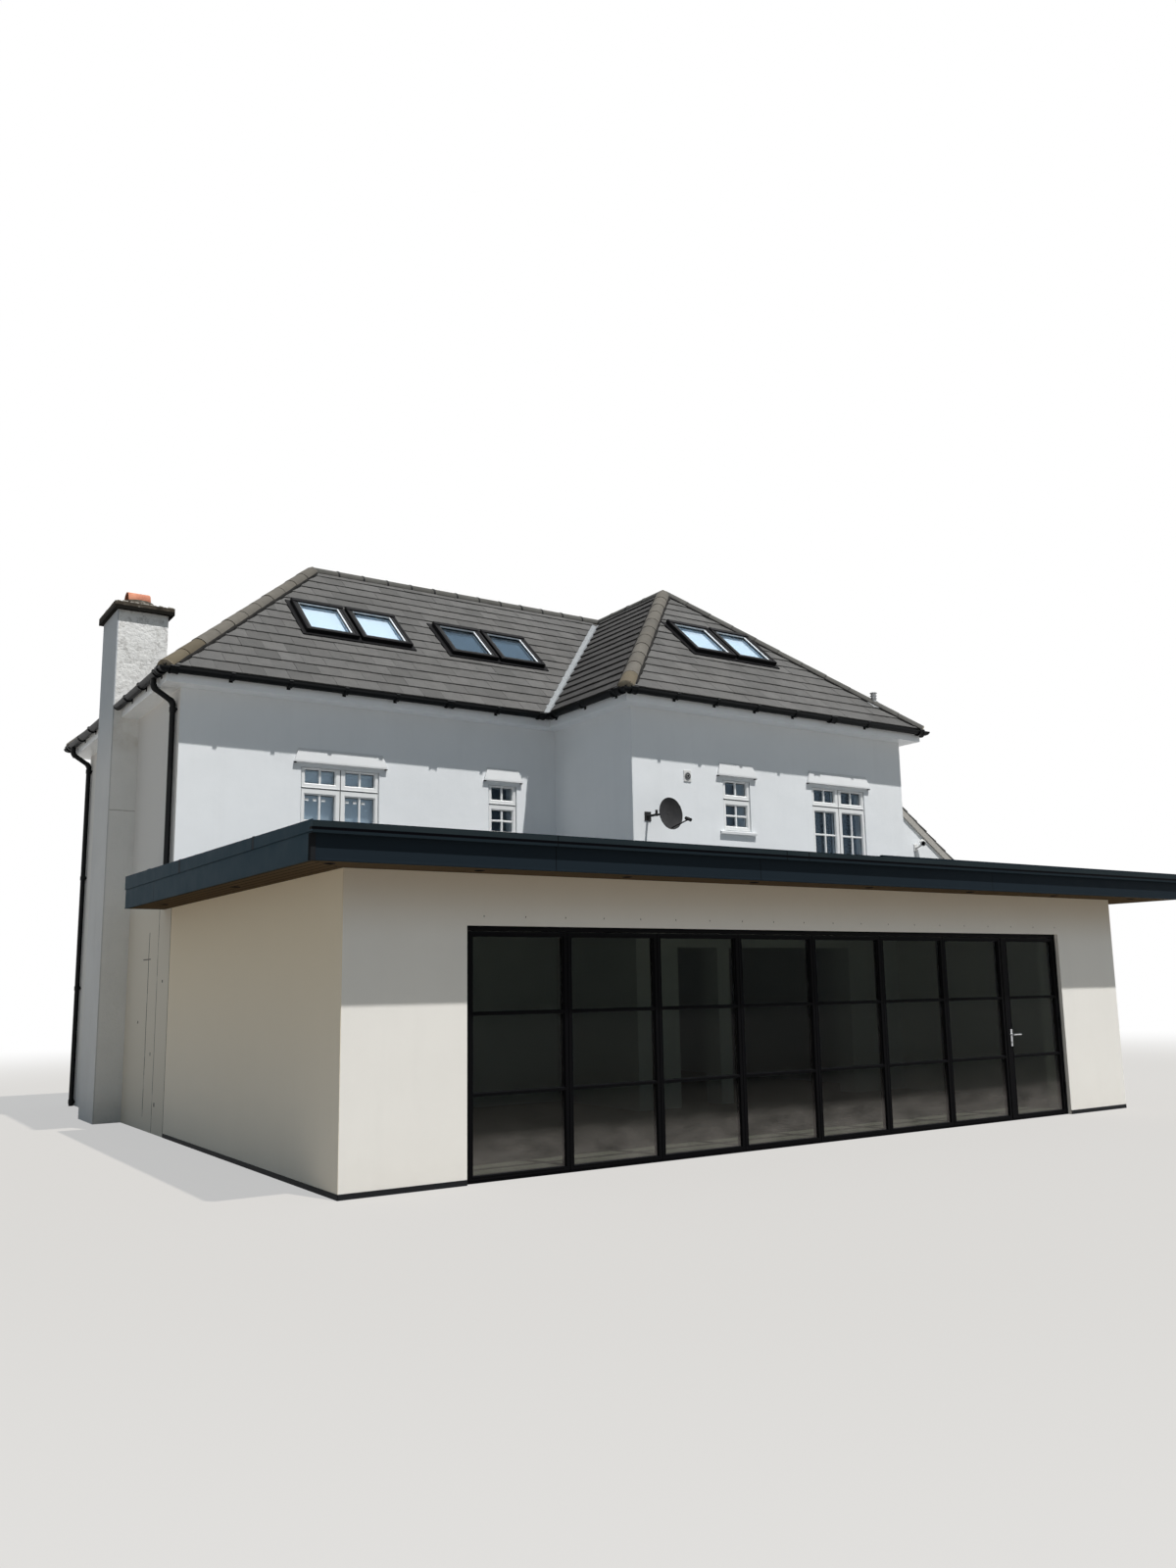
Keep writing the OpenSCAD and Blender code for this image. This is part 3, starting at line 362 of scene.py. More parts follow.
PAINTED_SHADOW_LINE = rough_stone("painted_shadow_line", 0.95, 120, 0.002, (0.35, (0.010, 0.010, 0.010)), (0.7, (0.028, 0.026, 0.024)))
CEMENT = rough_stone("cement", 0.95, 60, 0.006, (0.3, (0.05, 0.046, 0.04)), (0.55, (0.13, 0.12, 0.10)),
                     (0.75, (0.22, 0.20, 0.17)))
CAP = rough_stone("cap", 0.95, 60, 0.006, (0.35, (0.028, 0.024, 0.019)), (0.52, (0.075, 0.062, 0.048)),
                  (0.62, (0.10, 0.088, 0.07)), (0.68, (0.34, 0.31, 0.27)))
CRUMB = rough_stone("crumb", 0.95, 60, 0.004, (0.3, (0.16, 0.14, 0.11)), (0.6, (0.42, 0.40, 0.36)))
TERRACOTTA = rough_stone("terracotta", 0.8, 80, 0.002, (0.3, (0.42, 0.16, 0.10)), (0.6, (0.62, 0.27, 0.17)),
                         (0.8, (0.66, 0.38, 0.27)))
DECK_GREY = rough_stone("deck_grey", 0.7, 140, 0.0015, (0.3, (0.085, 0.09, 0.095)), (0.7, (0.15, 0.155, 0.16)))
CEILING = rough_stone("ceiling", 0.9, 90, 0.0005, (0.3, (0.70, 0.70, 0.69)), (0.7, (0.76, 0.76, 0.75)))
SLAB = rough_stone("slab", 0.55, 60, 0.001, (0.3, (0.34, 0.31, 0.28)), (0.7, (0.42, 0.39, 0.35)))
PLASTER = rough_stone("plaster", 0.9, 80, 0.001, (0.3, (0.60, 0.58, 0.55)), (0.7, (0.66, 0.64, 0.61)))
# The door glass lets little through, painted shade for the deep room behind; its film near the foot is partly dust and
# partly painted reflection of the ground
DOOR_GLASS = glass_material("door_glass", (0.60, 0.63, 0.60), 0.006, 5.0, (0.45, 0.48, 0.50), (0.62, 0.56, 0.53))
# The window glass's reflection is tinted sky blue, a painted sky reflection
WINDOW_GLASS = glass_material("window_glass", (0.92, 0.95, 0.97), 0.040, 5.5, (0.45, 0.64, 0.85))
STRIP = coated("valley_metal", (0.31, 0.33, 0.345), 0.6, 0.8, (0.17, 0.17, 0.17), 26, 0.2)
GALVANISED = coated("galvanised", (0.46, 0.47, 0.48), 0.45, 0.5, (0.30, 0.30, 0.30), 30, metallic=0.3)
LEAD = coated("lead", (0.19, 0.195, 0.20), 0.6, 0.6, (0.30, 0.30, 0.29), 9)
GUTTER_BLACK = coated("gutter_black", (0.006, 0.007, 0.008), 0.45, 0.15, (0.03, 0.029, 0.028), shine=0.12)
ANTHRACITE = coated("anthracite", (0.0140, 0.0215, 0.0290), 0.55, 0.05, (0.022, 0.028, 0.033), 2, 0.022)
EDGING = coated("edging", (0.0125, 0.0200, 0.0255), 0.55, 0.05, (0.022, 0.028, 0.033), 2, 0.022)
# The soffit's brown is partly painted light, warm light reflected up from the ground
SOFFIT_GREY = coated("soffit_grey", (0.110, 0.080, 0.050), 0.7, 0.12, (0.080, 0.060, 0.038), 5, 0.0)
DOOR_BLACK = coated("door_black", (0.0035, 0.0035, 0.0042), 0.5, 0.06, (0.010, 0.0095, 0.009), 7, 0.03)
WINDOW_WHITE = coated("window_white", (0.84, 0.85, 0.85), 0.3, 0.2, (0.62, 0.61, 0.59), 8)
BOARD_WHITE = coated("board_white", (0.92, 0.95, 0.98), 0.35, 0.3, (0.72, 0.75, 0.77), 5)
STEEL = coated("steel", (0.55, 0.56, 0.57), 0.25, 0.2, (0.35, 0.34, 0.33), 20, metallic=0.9)
DISH_GREY = coated("dish_grey", (0.020, 0.020, 0.022), 0.55, 0.4, (0.06, 0.058, 0.055), 9, 0.2)
ROOFLIGHT_BLACK = coated("rooflight_black", (0.006, 0.006, 0.007), 0.5, 0.12, (0.020, 0.020, 0.020), 10, 0.05)
SASH_GREY = coated("sash_grey", (0.30, 0.33, 0.34), 0.4, 0.4, (0.20, 0.20, 0.19), 12)
SEAL = coated("seal", (0.014, 0.015, 0.017), 0.7, 0.2, (0.03, 0.03, 0.03), 30, 0.1)
BLIND = coated("blind", (0.78, 0.84, 0.88), 0.8, 0.2, (0.68, 0.72, 0.75), 14)
# A dark sheet in the rooflights that have no blind, painted shade for the room below
PAINTED_SHADE_SHEET = coated("painted_shade_sheet", (0.042, 0.056, 0.068), 0.9, 0.2, (0.034, 0.045, 0.053), 2, 0.0)
SHUTTER = coated("shutter", (0.010, 0.009, 0.007), 0.55, 0.2, (0.025, 0.022, 0.020), 14, 0.05)
DOOR_PAINT = coated("door_paint", (0.020, 0.027, 0.034), 0.35, 0.2, (0.07, 0.07, 0.07), 5, 0.3)
TRIM = coated("trim", (0.0200, 0.0215, 0.0240), 0.7, 0.05, (0.026, 0.026, 0.028), 9, 0.0)
CAMERA_WHITE = coated("camera_white", (0.70, 0.70, 0.69), 0.35, 0.3, (0.45, 0.44, 0.42), 30)
LENS = coated("lens", (0.004, 0.004, 0.005), 0.35, 0.1, (0.012, 0.012, 0.012), 30, 0.0)


# Marks that lie at fixed places

# A wall's outer face, which stands at 0 along its axis
FACE_BAND = (-1, 0.004, 0.001)


def crack(g, at, low, high, wander, width):
    """The share of a thin crack that wanders up an upright wall facing left, near a place along Y."""
    drift = g.maths("SUBTRACT", g.noise(1.7, 5, 0.6, (0.0, 0.0, 1.0)), 0.5)
    y = g.maths("SUBTRACT", g.along((0, 1, 0)), g.maths("MULTIPLY", drift, wander * 2))
    close = g.maths("ABSOLUTE", g.maths("SUBTRACT", y, at))
    depth = g.ramp(g.noise(6, 2), (0.3, 0.3), (0.5, 1))
    return g.both(g.maths("LESS_THAN", close, width), g.band("Z", low, high, 0.01), depth)


def mark_render():
    # Painted shade darkens the left wall's whole outer face; old cream paint, cracks and marks lie on its low part, up
    # to the chimney
    g = LEFT_RENDER
    face = g.band("X", *FACE_BAND)
    low_face = g.both(face, g.band("Z", -1.0, FLAT_Z + 0.2, 0.03))
    g.tint((0.77, 0.76, 0.745), face)
    g.tint((0.74, 0.69, 0.60), face, g.band("Z", -1.0, FLAT_Z + 0.15, 0.22), g.band("Y", 0, 7.2, 0.05))
    for at, low, high, wander, width in ((6.04, 0.15, 2.30, 0.03, 0.011), (5.62, -0.1, 2.60, 0.02, 0.008)):
        g.tint((0.03, 0.026, 0.02), crack(g, at, low, high, wander, width), low_face)
    for y0, y1, z0, z1 in ((MAIN_Y - 0.01, MAIN_Y + 0.016, -1, FLAT_Z), (5.95, 6.30, 1.975, 1.987),
                           (5.50, 5.545, 0.30, 0.345), (5.78, 5.81, 0.86, 0.90), (6.42, 6.46, 1.22, 1.25),
                           (5.36, 5.40, 1.70, 1.73)):
        g.tint((0.045, 0.040, 0.033), low_face, g.band("Y", y0, y1, 0.003), g.band("Z", z0, z1, 0.003))
    # Painted warm shade: the extension's render is tinted a deeper cream on its left face, more so towards the top, and
    # browner under the flat roof at the front
    g = CREAM_RENDER
    g.tint((0.90, 0.785, 0.60), g.band("X", *FACE_BAND), g.ramp(g.part_of("Z", 0.0, 2.4), (0.0, 0.45), (1.0, 1)))
    g.tint((0.66, 0.56, 0.42), g.band("Y", *FACE_BAND), g.ramp(g.part_of("Z", 1.95, 2.5), (0.0, 0), (1.0, 0.7)))
    # Painted shade: the chimney's outer coat is tinted darker and bluer towards the top
    SHADED_COAT_RENDER.tint((0.47, 0.51, 0.55), SHADED_COAT_RENDER.part_of("Z", 4.3, 5.6), 0.85)
    # Damp stains under the eaves by the chimney, a faint ledge, soot near the cap, and painted shade on the cap's lower
    # part
    g = CHIMNEY_RENDER
    g.tint((0.50, 0.44, 0.35), g.band("Z", 4.75, 5.16, 0.12), g.ramp(g.noise(4, 4), (0.4, 0), (0.7, 0.45)))
    g.tint((0.16, 0.14, 0.12), g.band("Z", 3.912, 3.922, 0.002), g.ramp(g.noise(3, 3), (0.4, 0), (0.6, 0.55)))
    g.tint((0.42, 0.41, 0.39), g.part_of("Z", 4.9, 6.0), g.ramp(g.noise(14, 5, 0.7), (0.50, 0), (0.64, 0.6)))
    CAP.tint((0.012, 0.011, 0.009), CAP.band("Z", 6.0, CHIMNEY_HIGH.z + 0.048, 0.006))


def mark_boards():
    # Board lines along the flat roof's soffit, which turn its corners
    g = SOFFIT_GREY
    x, y = g.along((1, 0, 0)), g.along((0, 1, 0))
    left, front = g.maths("MULTIPLY", x, -1), g.maths("MULTIPLY", y, -1)
    out = g.maths("MAXIMUM", g.maths("MAXIMUM", left, front), g.maths("SUBTRACT", x, HOUSE_W))
    line = g.stripes(g.maths("ADD", out, 0.011), 0.082, 0.15)
    mitre = g.maths("LESS_THAN", g.maths("ABSOLUTE", g.maths("SUBTRACT", left, front)), 0.006)
    mitre = g.both(mitre, g.maths("GREATER_THAN", left, 0.0))
    g.tint((0.010, 0.009, 0.007), g.maths("MAXIMUM", line, mitre), 0.9)
    # The lean-to's verge boards are taupe
    BOARD_WHITE.tint((0.42, 0.40, 0.365), BOARD_WHITE.band("Z", 0.0, 4.6, 0.01))


def mark_metal():
    # Painted sky reflection: the left side of the flat roof's edge is tinted a clearer blue-grey than its front
    for g, reach in ((ANTHRACITE, 0.436), (EDGING, 0.446)):
        g.tint((0.024, 0.050, 0.070), g.band("X", -1, -reach, 0.001))
    # Painted sunlight, mottled, on the gutter's face under its lip, and a painted shadow line at its foot
    g = EDGING
    g.tint((0.026, 0.036, 0.040), g.band("Y", -1, -0.470, 0.001), g.band("Z", 2.790, 2.832, 0.004),
           g.ramp(g.noise(3, 4), (0.3, 0.35), (0.7, 0.8)))
    g.tint((0.001, 0.001, 0.002), g.band("Y", -1, -0.44, 0.001), g.band("Z", 2.768, 2.790, 0.003))
    # Joints and unions: the axis they cross and their spans on it, and the other axis with its reach
    joint, union = (0.002, 0.002, 0.002), (0.022, 0.030, 0.038)
    for g, axis, spans, other, reach, colour in (
            (EDGING, "X", ((4.315, 4.325), (4.605, 4.615), (1.715, 1.722)), "Y", -0.44, joint),
            (EDGING, "Y", ((0.845, 0.852), (0.905, 0.912), (3.105, 3.112), (3.165, 3.172)), "X", -0.3, joint),
            (EDGING, "Y", ((0.855, 0.902), (3.115, 3.162)), "X", -0.3, union),
            (ANTHRACITE, "Y", ((4.148, 4.156),), "X", -0.3, joint),
            (ANTHRACITE, "X", ((1.72, 1.726), (4.01, 4.016), (7.4, 7.406)), "Y", -0.3, joint)):
        for low, high in spans:
            g.tint(colour, g.band(axis, low, high), g.band(other, -1, reach))
    # Ribs across the valley strip
    STRIP.tint((0.11, 0.11, 0.11), STRIP.stripes(STRIP.along((0.7071, 0.7071, 0)), 0.045, 0.28), STRIP.noise(20, 2))


NODE_LOOKS = {
    WHITE_RENDER: "main_garden_wall wing_side_wall wing_garden_wall right_wall street_wall lean_to_walls",
    LEFT_RENDER: "left_wall",
    HOOD_RENDER: "window_hoods_and_sills",
    CREAM_RENDER: "extension_left_wall extension_right_wall extension_pier_left extension_pier_right "
                  "extension_door_head",
    CHIMNEY_RENDER: "chimney_stack",
    CAP: "chimney_cap",
    TERRACOTTA: "chimney_tile",
    ROOF_TILE: "roof_garden_slope roof_left_slope roof_street_slope roof_right_slope wing_garden_slope "
               "wing_left_slope lean_to_roof",
    MORTAR: "ridge_and_hip_tiles",
    STRIP: "valley_strip",
    GUTTER_BLACK: "eaves_gutter downpipes rooflight_frames",
    ANTHRACITE: "extension_fascia",
    EDGING: "extension_roof_edging",
    SOFFIT_GREY: "extension_soffit",
    DECK_GREY: "extension_roof_deck",
    DOOR_BLACK: "door_frame folding_leaves access_door",
    DOOR_GLASS: "folding_glass access_door_glass",
    WINDOW_GLASS: "window_glass",
    WINDOW_WHITE: "window_frames",
    BOARD_WHITE: "eaves_boards",
    SLAB: "ground_slab",
    PLASTER: "upper_floors",
    STEEL: "access_door_handle",
    DISH_GREY: "satellite_dish",
    DOOR_PAINT: "front_door",
}


def dress_nodes():
    for look, names in NODE_LOOKS.items():
        for name in names.split():
            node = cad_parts[name]
            for slot in node.material_slots:
                slot.material = look.material
            if not node.material_slots:
                node.data.materials.append(look.material)


mark_render()
mark_boards()
mark_metal()
dress_nodes()


# Building pieces out of closed solids

class Place:
    """A local frame in plan metres: u to the right, v up and w out of the face."""

    def __init__(self, origin, u, v):
        self.origin, self.u, self.v = Vector(origin), Vector(u).normalized(), Vector(v).normalized()
        self.w = self.u.cross(self.v)

    def __call__(self, u, v, w=0.0):
        return self.origin + self.u * u + self.v * v + self.w * w

    def at(self, u, v, w=0.0):
        return Place(self(u, v, w), self.u, self.v)


LEVEL = Place((0, 0, 0), (1, 0, 0), (0, 1, 0))
OUTWARDS = {"garden": (1, 0, 0), "street": (-1, 0, 0), "left": (0, -1, 0), "right": (0, 1, 0)}


def facing(side, x, y, z=0.0):
    """A place on an upright face that looks towards the garden, the street, the left or the right."""
    return Place((x, y, z), OUTWARDS[side], (0, 0, 1))


def grown(rect, by):
    return (rect[0] - by, rect[1] - by, rect[2] + by, rect[3] + by)


def circle(sides):
    """The cosines and sines of even steps round a circle."""
    return [(math.cos(2 * math.pi * k / sides), math.sin(2 * math.pi * k / sides)) for k in range(sides)]


def inside_box(p):
    return Vector([min(max(value, low), high) for value, low, high in zip(p, *cad_box)])


class Shape:
    """Closed solids that become one piece. Each has a material slot, and a tone that its material may read."""

    def __init__(self):
        self.points, self.faces, self.tones, self.slots = [], [], [], []

    def loft(self, outlines, tone=0.5, slot=0, ring=False):
        """A solid through outlines with the same number of corners, closed at its ends or into a ring."""
        n, m, start = len(outlines[0]), len(outlines), len(self.points)
        faces = [] if ring else [tuple(range(n)), tuple(range(m * n - 1, (m - 1) * n - 1, -1))]
        for k in range(m if ring else m - 1):
            a, b = k * n, (k + 1) % m * n
            faces += [(a + i, b + i, b + (i + 1) % n, a + (i + 1) % n) for i in range(n)]
        self.points += [p for outline in outlines for p in outline]
        self.faces += [tuple(start + i for i in face) for face in faces]
        self.tones += [tone] * len(faces)
        self.slots += [slot] * len(faces)

    def block(self, place, low, high, edge=0.0, slot=0):
        """A box whose outer face, the one at the high w, has edges taken off by a distance."""
        (u0, v0, w0), (u1, v1, w1) = low, high
        layers = [(w0, 0), (w1 - edge, 0), (w1, edge)] if edge else [(w0, 0), (w1, 0)]
        self.loft([[place(u0 + c, v0 + c, w), place(u1 - c, v0 + c, w), place(u1 - c, v1 - c, w),
                    place(u0 + c, v1 - c, w)] for w, c in layers], slot=slot)

    def mould(self, place, stages, slot=0):
        """A ring through rectangles (u0, v0, u1, v1), each with its distance out of the face."""
        self.loft([[place(rect[a], rect[b], w) for rect, w in stages] for a, b in ((0, 1), (2, 1), (2, 3), (0, 3))],
                  slot=slot, ring=True)

    def frame(self, place, rect, profile, slot=0):
        """A moulding round a rectangle, mitred at its corners: the profile's points are (inward, outward)."""
        self.mould(place, [(grown(rect, -inward), w) for inward, w in profile], slot)

    def tube(self, path, radius, sides=12, slot=0):
        """A round bar along a path. The radius is one number, or one for each point."""
        path = [Vector(p) for p in path]
        radii = radius if isinstance(radius, (list, tuple)) else [radius] * len(path)
        rings, side = [], None
        for i, (p, r) in enumerate(zip(path, radii)):
            ahead = (path[min(i + 1, len(path) - 1)] - path[max(i - 1, 0)]).normalized()
            if side is None:
                side = ahead.orthogonal().normalized()
            side = (side - ahead * side.dot(ahead)).normalized()
            other = ahead.cross(side)
            rings.append([p + (side * c + other * s) * r for c, s in circle(sides)])
        self.loft(rings, slot=slot)

    def hoop(self, place, centre, radii, arc, span, steps=10):
        """Part of a ring about the u axis, between two angles measured from w towards v, over a span along u."""
        (inner, outer), (start, end), (low, high) = radii, arc, span
        corners = [(inner, low), (outer, low), (outer, high), (inner, high)]
        angles = [math.radians(start + (end - start) * k / steps) for k in range(steps + 1)]
        self.loft([[place(u, centre[0] + r * math.sin(a), centre[1] + r * math.cos(a)) for r, u in corners]
                   for a in angles])

    def disc(self, place, radius, low, high, edge=0.0, sides=24, slot=0):
        """A round plate in a place's face, between two distances out of it."""
        layers = [(low, radius)] + ([(high - edge, radius)] if edge else []) + [(high, radius - edge)]
        self.loft([[place(r * c, r * s, w) for c, s in circle(sides)] for w, r in layers], slot=slot)

    def piece(self, name, *looks, body="house", sharp=35):
        mesh = bpy.data.meshes.new(name)
        mesh.from_pydata([inside_box(PLAN + p) for p in self.points], [], self.faces)
        work = bmesh.new()
        work.from_mesh(mesh)
        bmesh.ops.recalc_face_normals(work, faces=work.faces)
        work.to_mesh(mesh)
        work.free()
        mesh.attributes.new("tone", "FLOAT", "FACE").data.foreach_set("value", self.tones)
        for look in looks:
            mesh.materials.append(look.material)
        mesh.polygons.foreach_set("material_index", self.slots)
        mesh.polygons.foreach_set("use_smooth", [True] * len(self.faces))
        mesh.set_sharp_from_angle(angle=math.radians(sharp))
        made = placed(name, mesh)
        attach(made, body)


# Roof tiles

GAUGE, TILE_W, TILE_START, TILE_LAP = 0.25, 0.30, -0.012, 0.015
TILE_NOSE, SHADE_NOSE, TILE_HEAD, TILE_GAP, NOSE_BEVEL = 0.019, 0.026, 0.004, 0.003, 0.004
TILE_TONES = (0.0, 0.25, 0.45, 0.5, 0.6, 0.65, 0.8, 1.0)
LEAST_TILE = 2e-4


def sides_of(outline):
    return zip(outline, outline[1:] + outline[:1])


def clip(outline, a, b, c):
    """The part of a convex outline where a u + b v is at least c."""
    kept = []
    for p, q in sides_of(outline):
        dp, dq = a * p[0] + b * p[1] - c, a * q[0] + b * q[1] - c
        if dp >= 0:
            kept.append(p)
        if dp * dq < 0:
            t = dp / (dp - dq)
            kept.append((p[0] + t * (q[0] - p[0]), p[1] + t * (q[1] - p[1])))
    return kept


def area(outline):
    return sum(p[0] * q[1] - q[0] * p[1] for p, q in sides_of(outline)) / 2


def clip_to(outline, bounds):
    for p, q in sides_of(bounds):
        du, dv = q[0] - p[0], q[1] - p[1]
        outline = clip(outline, -dv, du, du * p[1] - dv * p[0])
    return outline


def without(outline, hole):
    """A convex outline less a rectangle, as convex parts."""
    u0, v0, u1, v1 = hole
    middle = clip(clip(outline, 1, 0, u0), -1, 0, -u1)
    return [clip(outline, -1, 0, -u0), clip(outline, 1, 0, u1), clip(middle, 0, -1, -v0), clip(middle, 0, 1, v1)]


def slope_place(corner, turn, z=EDGE_Z, pitch=PITCH):
    """A place on a roof slope: its eaves edge starts at a plan corner and runs at an angle, and v goes up the slope."""
    along = Vector((math.cos(math.radians(turn)), math.sin(math.radians(turn)), 0))
    inward = Vector((-along.y, along.x, 0))
    return Place((*corner, z), along, inward * math.cos(pitch) + Vector((0, 0, math.sin(pitch))))


def on_slope(slope, corners):
    """Plan corners as an outline in a slope's u and v, anticlockwise."""
    inward = Vector((-slope.u.y, slope.u.x, 0))
    outline = []
    for x, y in corners:
        d = Vector((x, y, slope.origin.z)) - slope.origin
        outline.append((d.dot(slope.u), d.dot(inward) / math.cos(PITCH)))
    return outline if area(outline) > 0 else outline[::-1]


def tile_slope(name, place, outline, holes=(), look=ROOF_TILE, nose=TILE_NOSE):
    """Courses of plain concrete tiles, half a tile out of step, cut to a convex outline and round rectangles."""
    shape = Shape()
    low, high, top = min(u for u, v in outline), max(u for u, v in outline), max(v for u, v in outline)
    bounds = [(u, v if v > 0.01 else TILE_START - 0.01) for u, v in outline]
    course = 0
    while TILE_START + course * GAUGE < top - 0.01:
        v0 = TILE_START + course * GAUGE
        u = low - TILE_W * (1 + course % 2 / 2)
        while u < high:
            slip, lift, tone = random.uniform(-0.003, 0.003), random.uniform(-0.001, 0.002), random.choice(TILE_TONES)
            left, right, foot, head = u + TILE_GAP / 2, u + TILE_W - TILE_GAP / 2, v0 + slip, v0 + GAUGE + TILE_LAP
            parts = [clip_to([(left, foot), (right, foot), (right, head), (left, head)], bounds)]
            for hole in holes:
                parts = [part for whole in parts if len(whole) > 2 for part in without(whole, hole)]
            for part in parts:
                if len(part) > 2 and area(part) > LEAST_TILE:
                    rise = [nose + lift + (TILE_HEAD - nose) * (v - v0) / GAUGE for _, v in part]
                    lean = [(v - v0 - slip < 0.002) * NOSE_BEVEL for _, v in part]
                    shape.loft([[place(a, b, 0.001) for a, b in part],
                                [place(a, b, max(h - NOSE_BEVEL, 0.002)) for (a, b), h in zip(part, rise)],
                                [place(a, b + n, h) for (a, b), h, n in zip(part, rise, lean)]], tone)
            u += TILE_W
        course += 1
    shape.piece(name, look, sharp=20)


def house_corners(out):
    """The six corners of the house's outline, grown by a distance."""
    return [(-out, MAIN_Y - out), (WING_X - out, MAIN_Y - out), (WING_X - out, WING_Y - out),
            (HOUSE_W + out, WING_Y - out), (HOUSE_W + out, STREET_Y + out), (-out, STREET_Y + out)]


# Round the house: left, valley, wing's two, and the street side's two
CORNER_A, CORNER_B, CORNER_C, CORNER_D, CORNER_E, CORNER_F = house_corners(TILE_OUT)
RIDGE_X, RIDGE_Y = (WING_X + HOUSE_W) / 2, (MAIN_Y + STREET_Y) / 2
HIP_TOP = ((STREET_Y - MAIN_Y) / 2, RIDGE_Y)
MEETING, APEX = (RIDGE_X, RIDGE_Y), (RIDGE_X, WING_Y + (HOUSE_W - WING_X) / 2)
VALLEY_HALF = 0.075

GARDEN_SLOPE, WING_SLOPE = slope_place(CORNER_A, 0), slope_place(CORNER_C, 0)
WING_LEFT_SLOPE, LEFT_SLOPE = slope_place(CORNER_B, -90), slope_place(CORNER_F, -90)

ROOFLIGHT_W, ROOFLIGHT_L, ROOFLIGHT_UP, ROOFLIGHT_PITCH = 0.740, 0.910, 1.860, 0.795
ROOFLIGHT_PAIRS = [(GARDEN_SLOPE, 2.570, True), (GARDEN_SLOPE, 4.740, False), (WING_SLOPE, 7.690, True)]
ROOFLIGHTS = [(slope, x + side * ROOFLIGHT_PITCH / 2, blind) for slope, x, blind in ROOFLIGHT_PAIRS for side in (-1, 1)]
FLASHING = 0.045


def rooflight_holes(slope):
    centres = [x - slope.origin.x for own, x, _ in ROOFLIGHTS if own is slope]
    return [(u - ROOFLIGHT_W / 2 - FLASHING, ROOFLIGHT_UP - ROOFLIGHT_L / 2 - FLASHING,
             u + ROOFLIGHT_W / 2 + FLASHING, ROOFLIGHT_UP + ROOFLIGHT_L / 2 + FLASHING) for u in centres]


def away_from_valley(slope, corners):
    """A slope's outline cut back from the valley line, which its edge from CORNER_B to MEETING follows."""
    outline = on_slope(slope, corners)
    (u0, v0), (u1, v1) = [on_slope(slope, [p])[0] for p in (CORNER_B, MEETING)]
    length = math.hypot(u1 - u0, v1 - v0)
    a, b = -(v1 - v0) / length, (u1 - u0) / length
    middle = (sum(u for u, v in outline) / len(outline), sum(v for u, v in outline) / len(outline))
    if a * (middle[0] - u0) + b * (middle[1] - v0) < 0:
        a, b = -a, -b
    return clip(outline, a, b, a * u0 + b * v0 + VALLEY_HALF)


def tile_roof():
    tile_slope("tiles_garden_slope", GARDEN_SLOPE,
               away_from_valley(GARDEN_SLOPE, [CORNER_A, CORNER_B, MEETING, HIP_TOP]), rooflight_holes(GARDEN_SLOPE))
    tile_slope("tiles_wing_left_slope", WING_LEFT_SLOPE,
               away_from_valley(WING_LEFT_SLOPE, [CORNER_C, APEX, MEETING, CORNER_B]), (), PAINTED_SHADE_TILE, SHADE_NOSE)
    tile_slope("tiles_wing_garden_slope", WING_SLOPE, on_slope(WING_SLOPE, [CORNER_C, CORNER_D, APEX]),
               rooflight_holes(WING_SLOPE))
    right, street = slope_place(CORNER_D, 90), slope_place(CORNER_E, 180)
    tile_slope("tiles_right_slope", right, on_slope(right, [CORNER_D, CORNER_E, MEETING, APEX]))
    tile_slope("tiles_street_slope", street, on_slope(street, [CORNER_F, HIP_TOP, MEETING, CORNER_E]))
    stack = (CORNER_F[1] - CHIMNEY_HIGH.y - 0.02, -1, CORNER_F[1] - CHIMNEY_LOW.y + 0.02,
             (CHIMNEY_HIGH.x + TILE_OUT + 0.02) / math.cos(PITCH))
    tile_slope("tiles_left_slope", LEFT_SLOPE, on_slope(LEFT_SLOPE, [CORNER_A, HIP_TOP, CORNER_F]), [stack], PAINTED_SHADE_TILE)


# Ridges and hips: radius, depth below the tiles' plane and half the angle that a round tile spans

ROUND_L, ROUND_T, ROUND_GAP, ROUND_STEPS = 0.414, 0.014, 0.007, 12
COLLAR_HALF, COLLAR_IN, COLLAR_OUT, COLLAR_MORE = 0.013, 0.02, 0.006, 4
RIDGE_R, RIDGE_SINK, RIDGE_SPAN = 0.096, 0.058, 92
HIP_R, HIP_SINK, HIP_SPAN, HIP_FLARE, HIP_FOOT = 0.116, 0.078, 70, 0.0025, 0.010
HIP_PITCH = math.atan(math.tan(PITCH) / math.sqrt(2))
# Painted shadow lines beside the hips, dark strips where their shade falls: near and far side, height of foot and top,
# and lift over the slope
LINE_IN, LINE_OUT, LINE_FOOT, LINE_TOP, LINE_LIFT = 0.098, 0.122, -0.02, 0.004, 0.023


def line_axes(a, b):
    """Ahead along a line, level across it, and up from it."""
    ahead = (b - a).normalized()
    across = ahead.cross(Vector((0, 0, 1))).normalized()
    return ahead, across, across.cross(ahead)


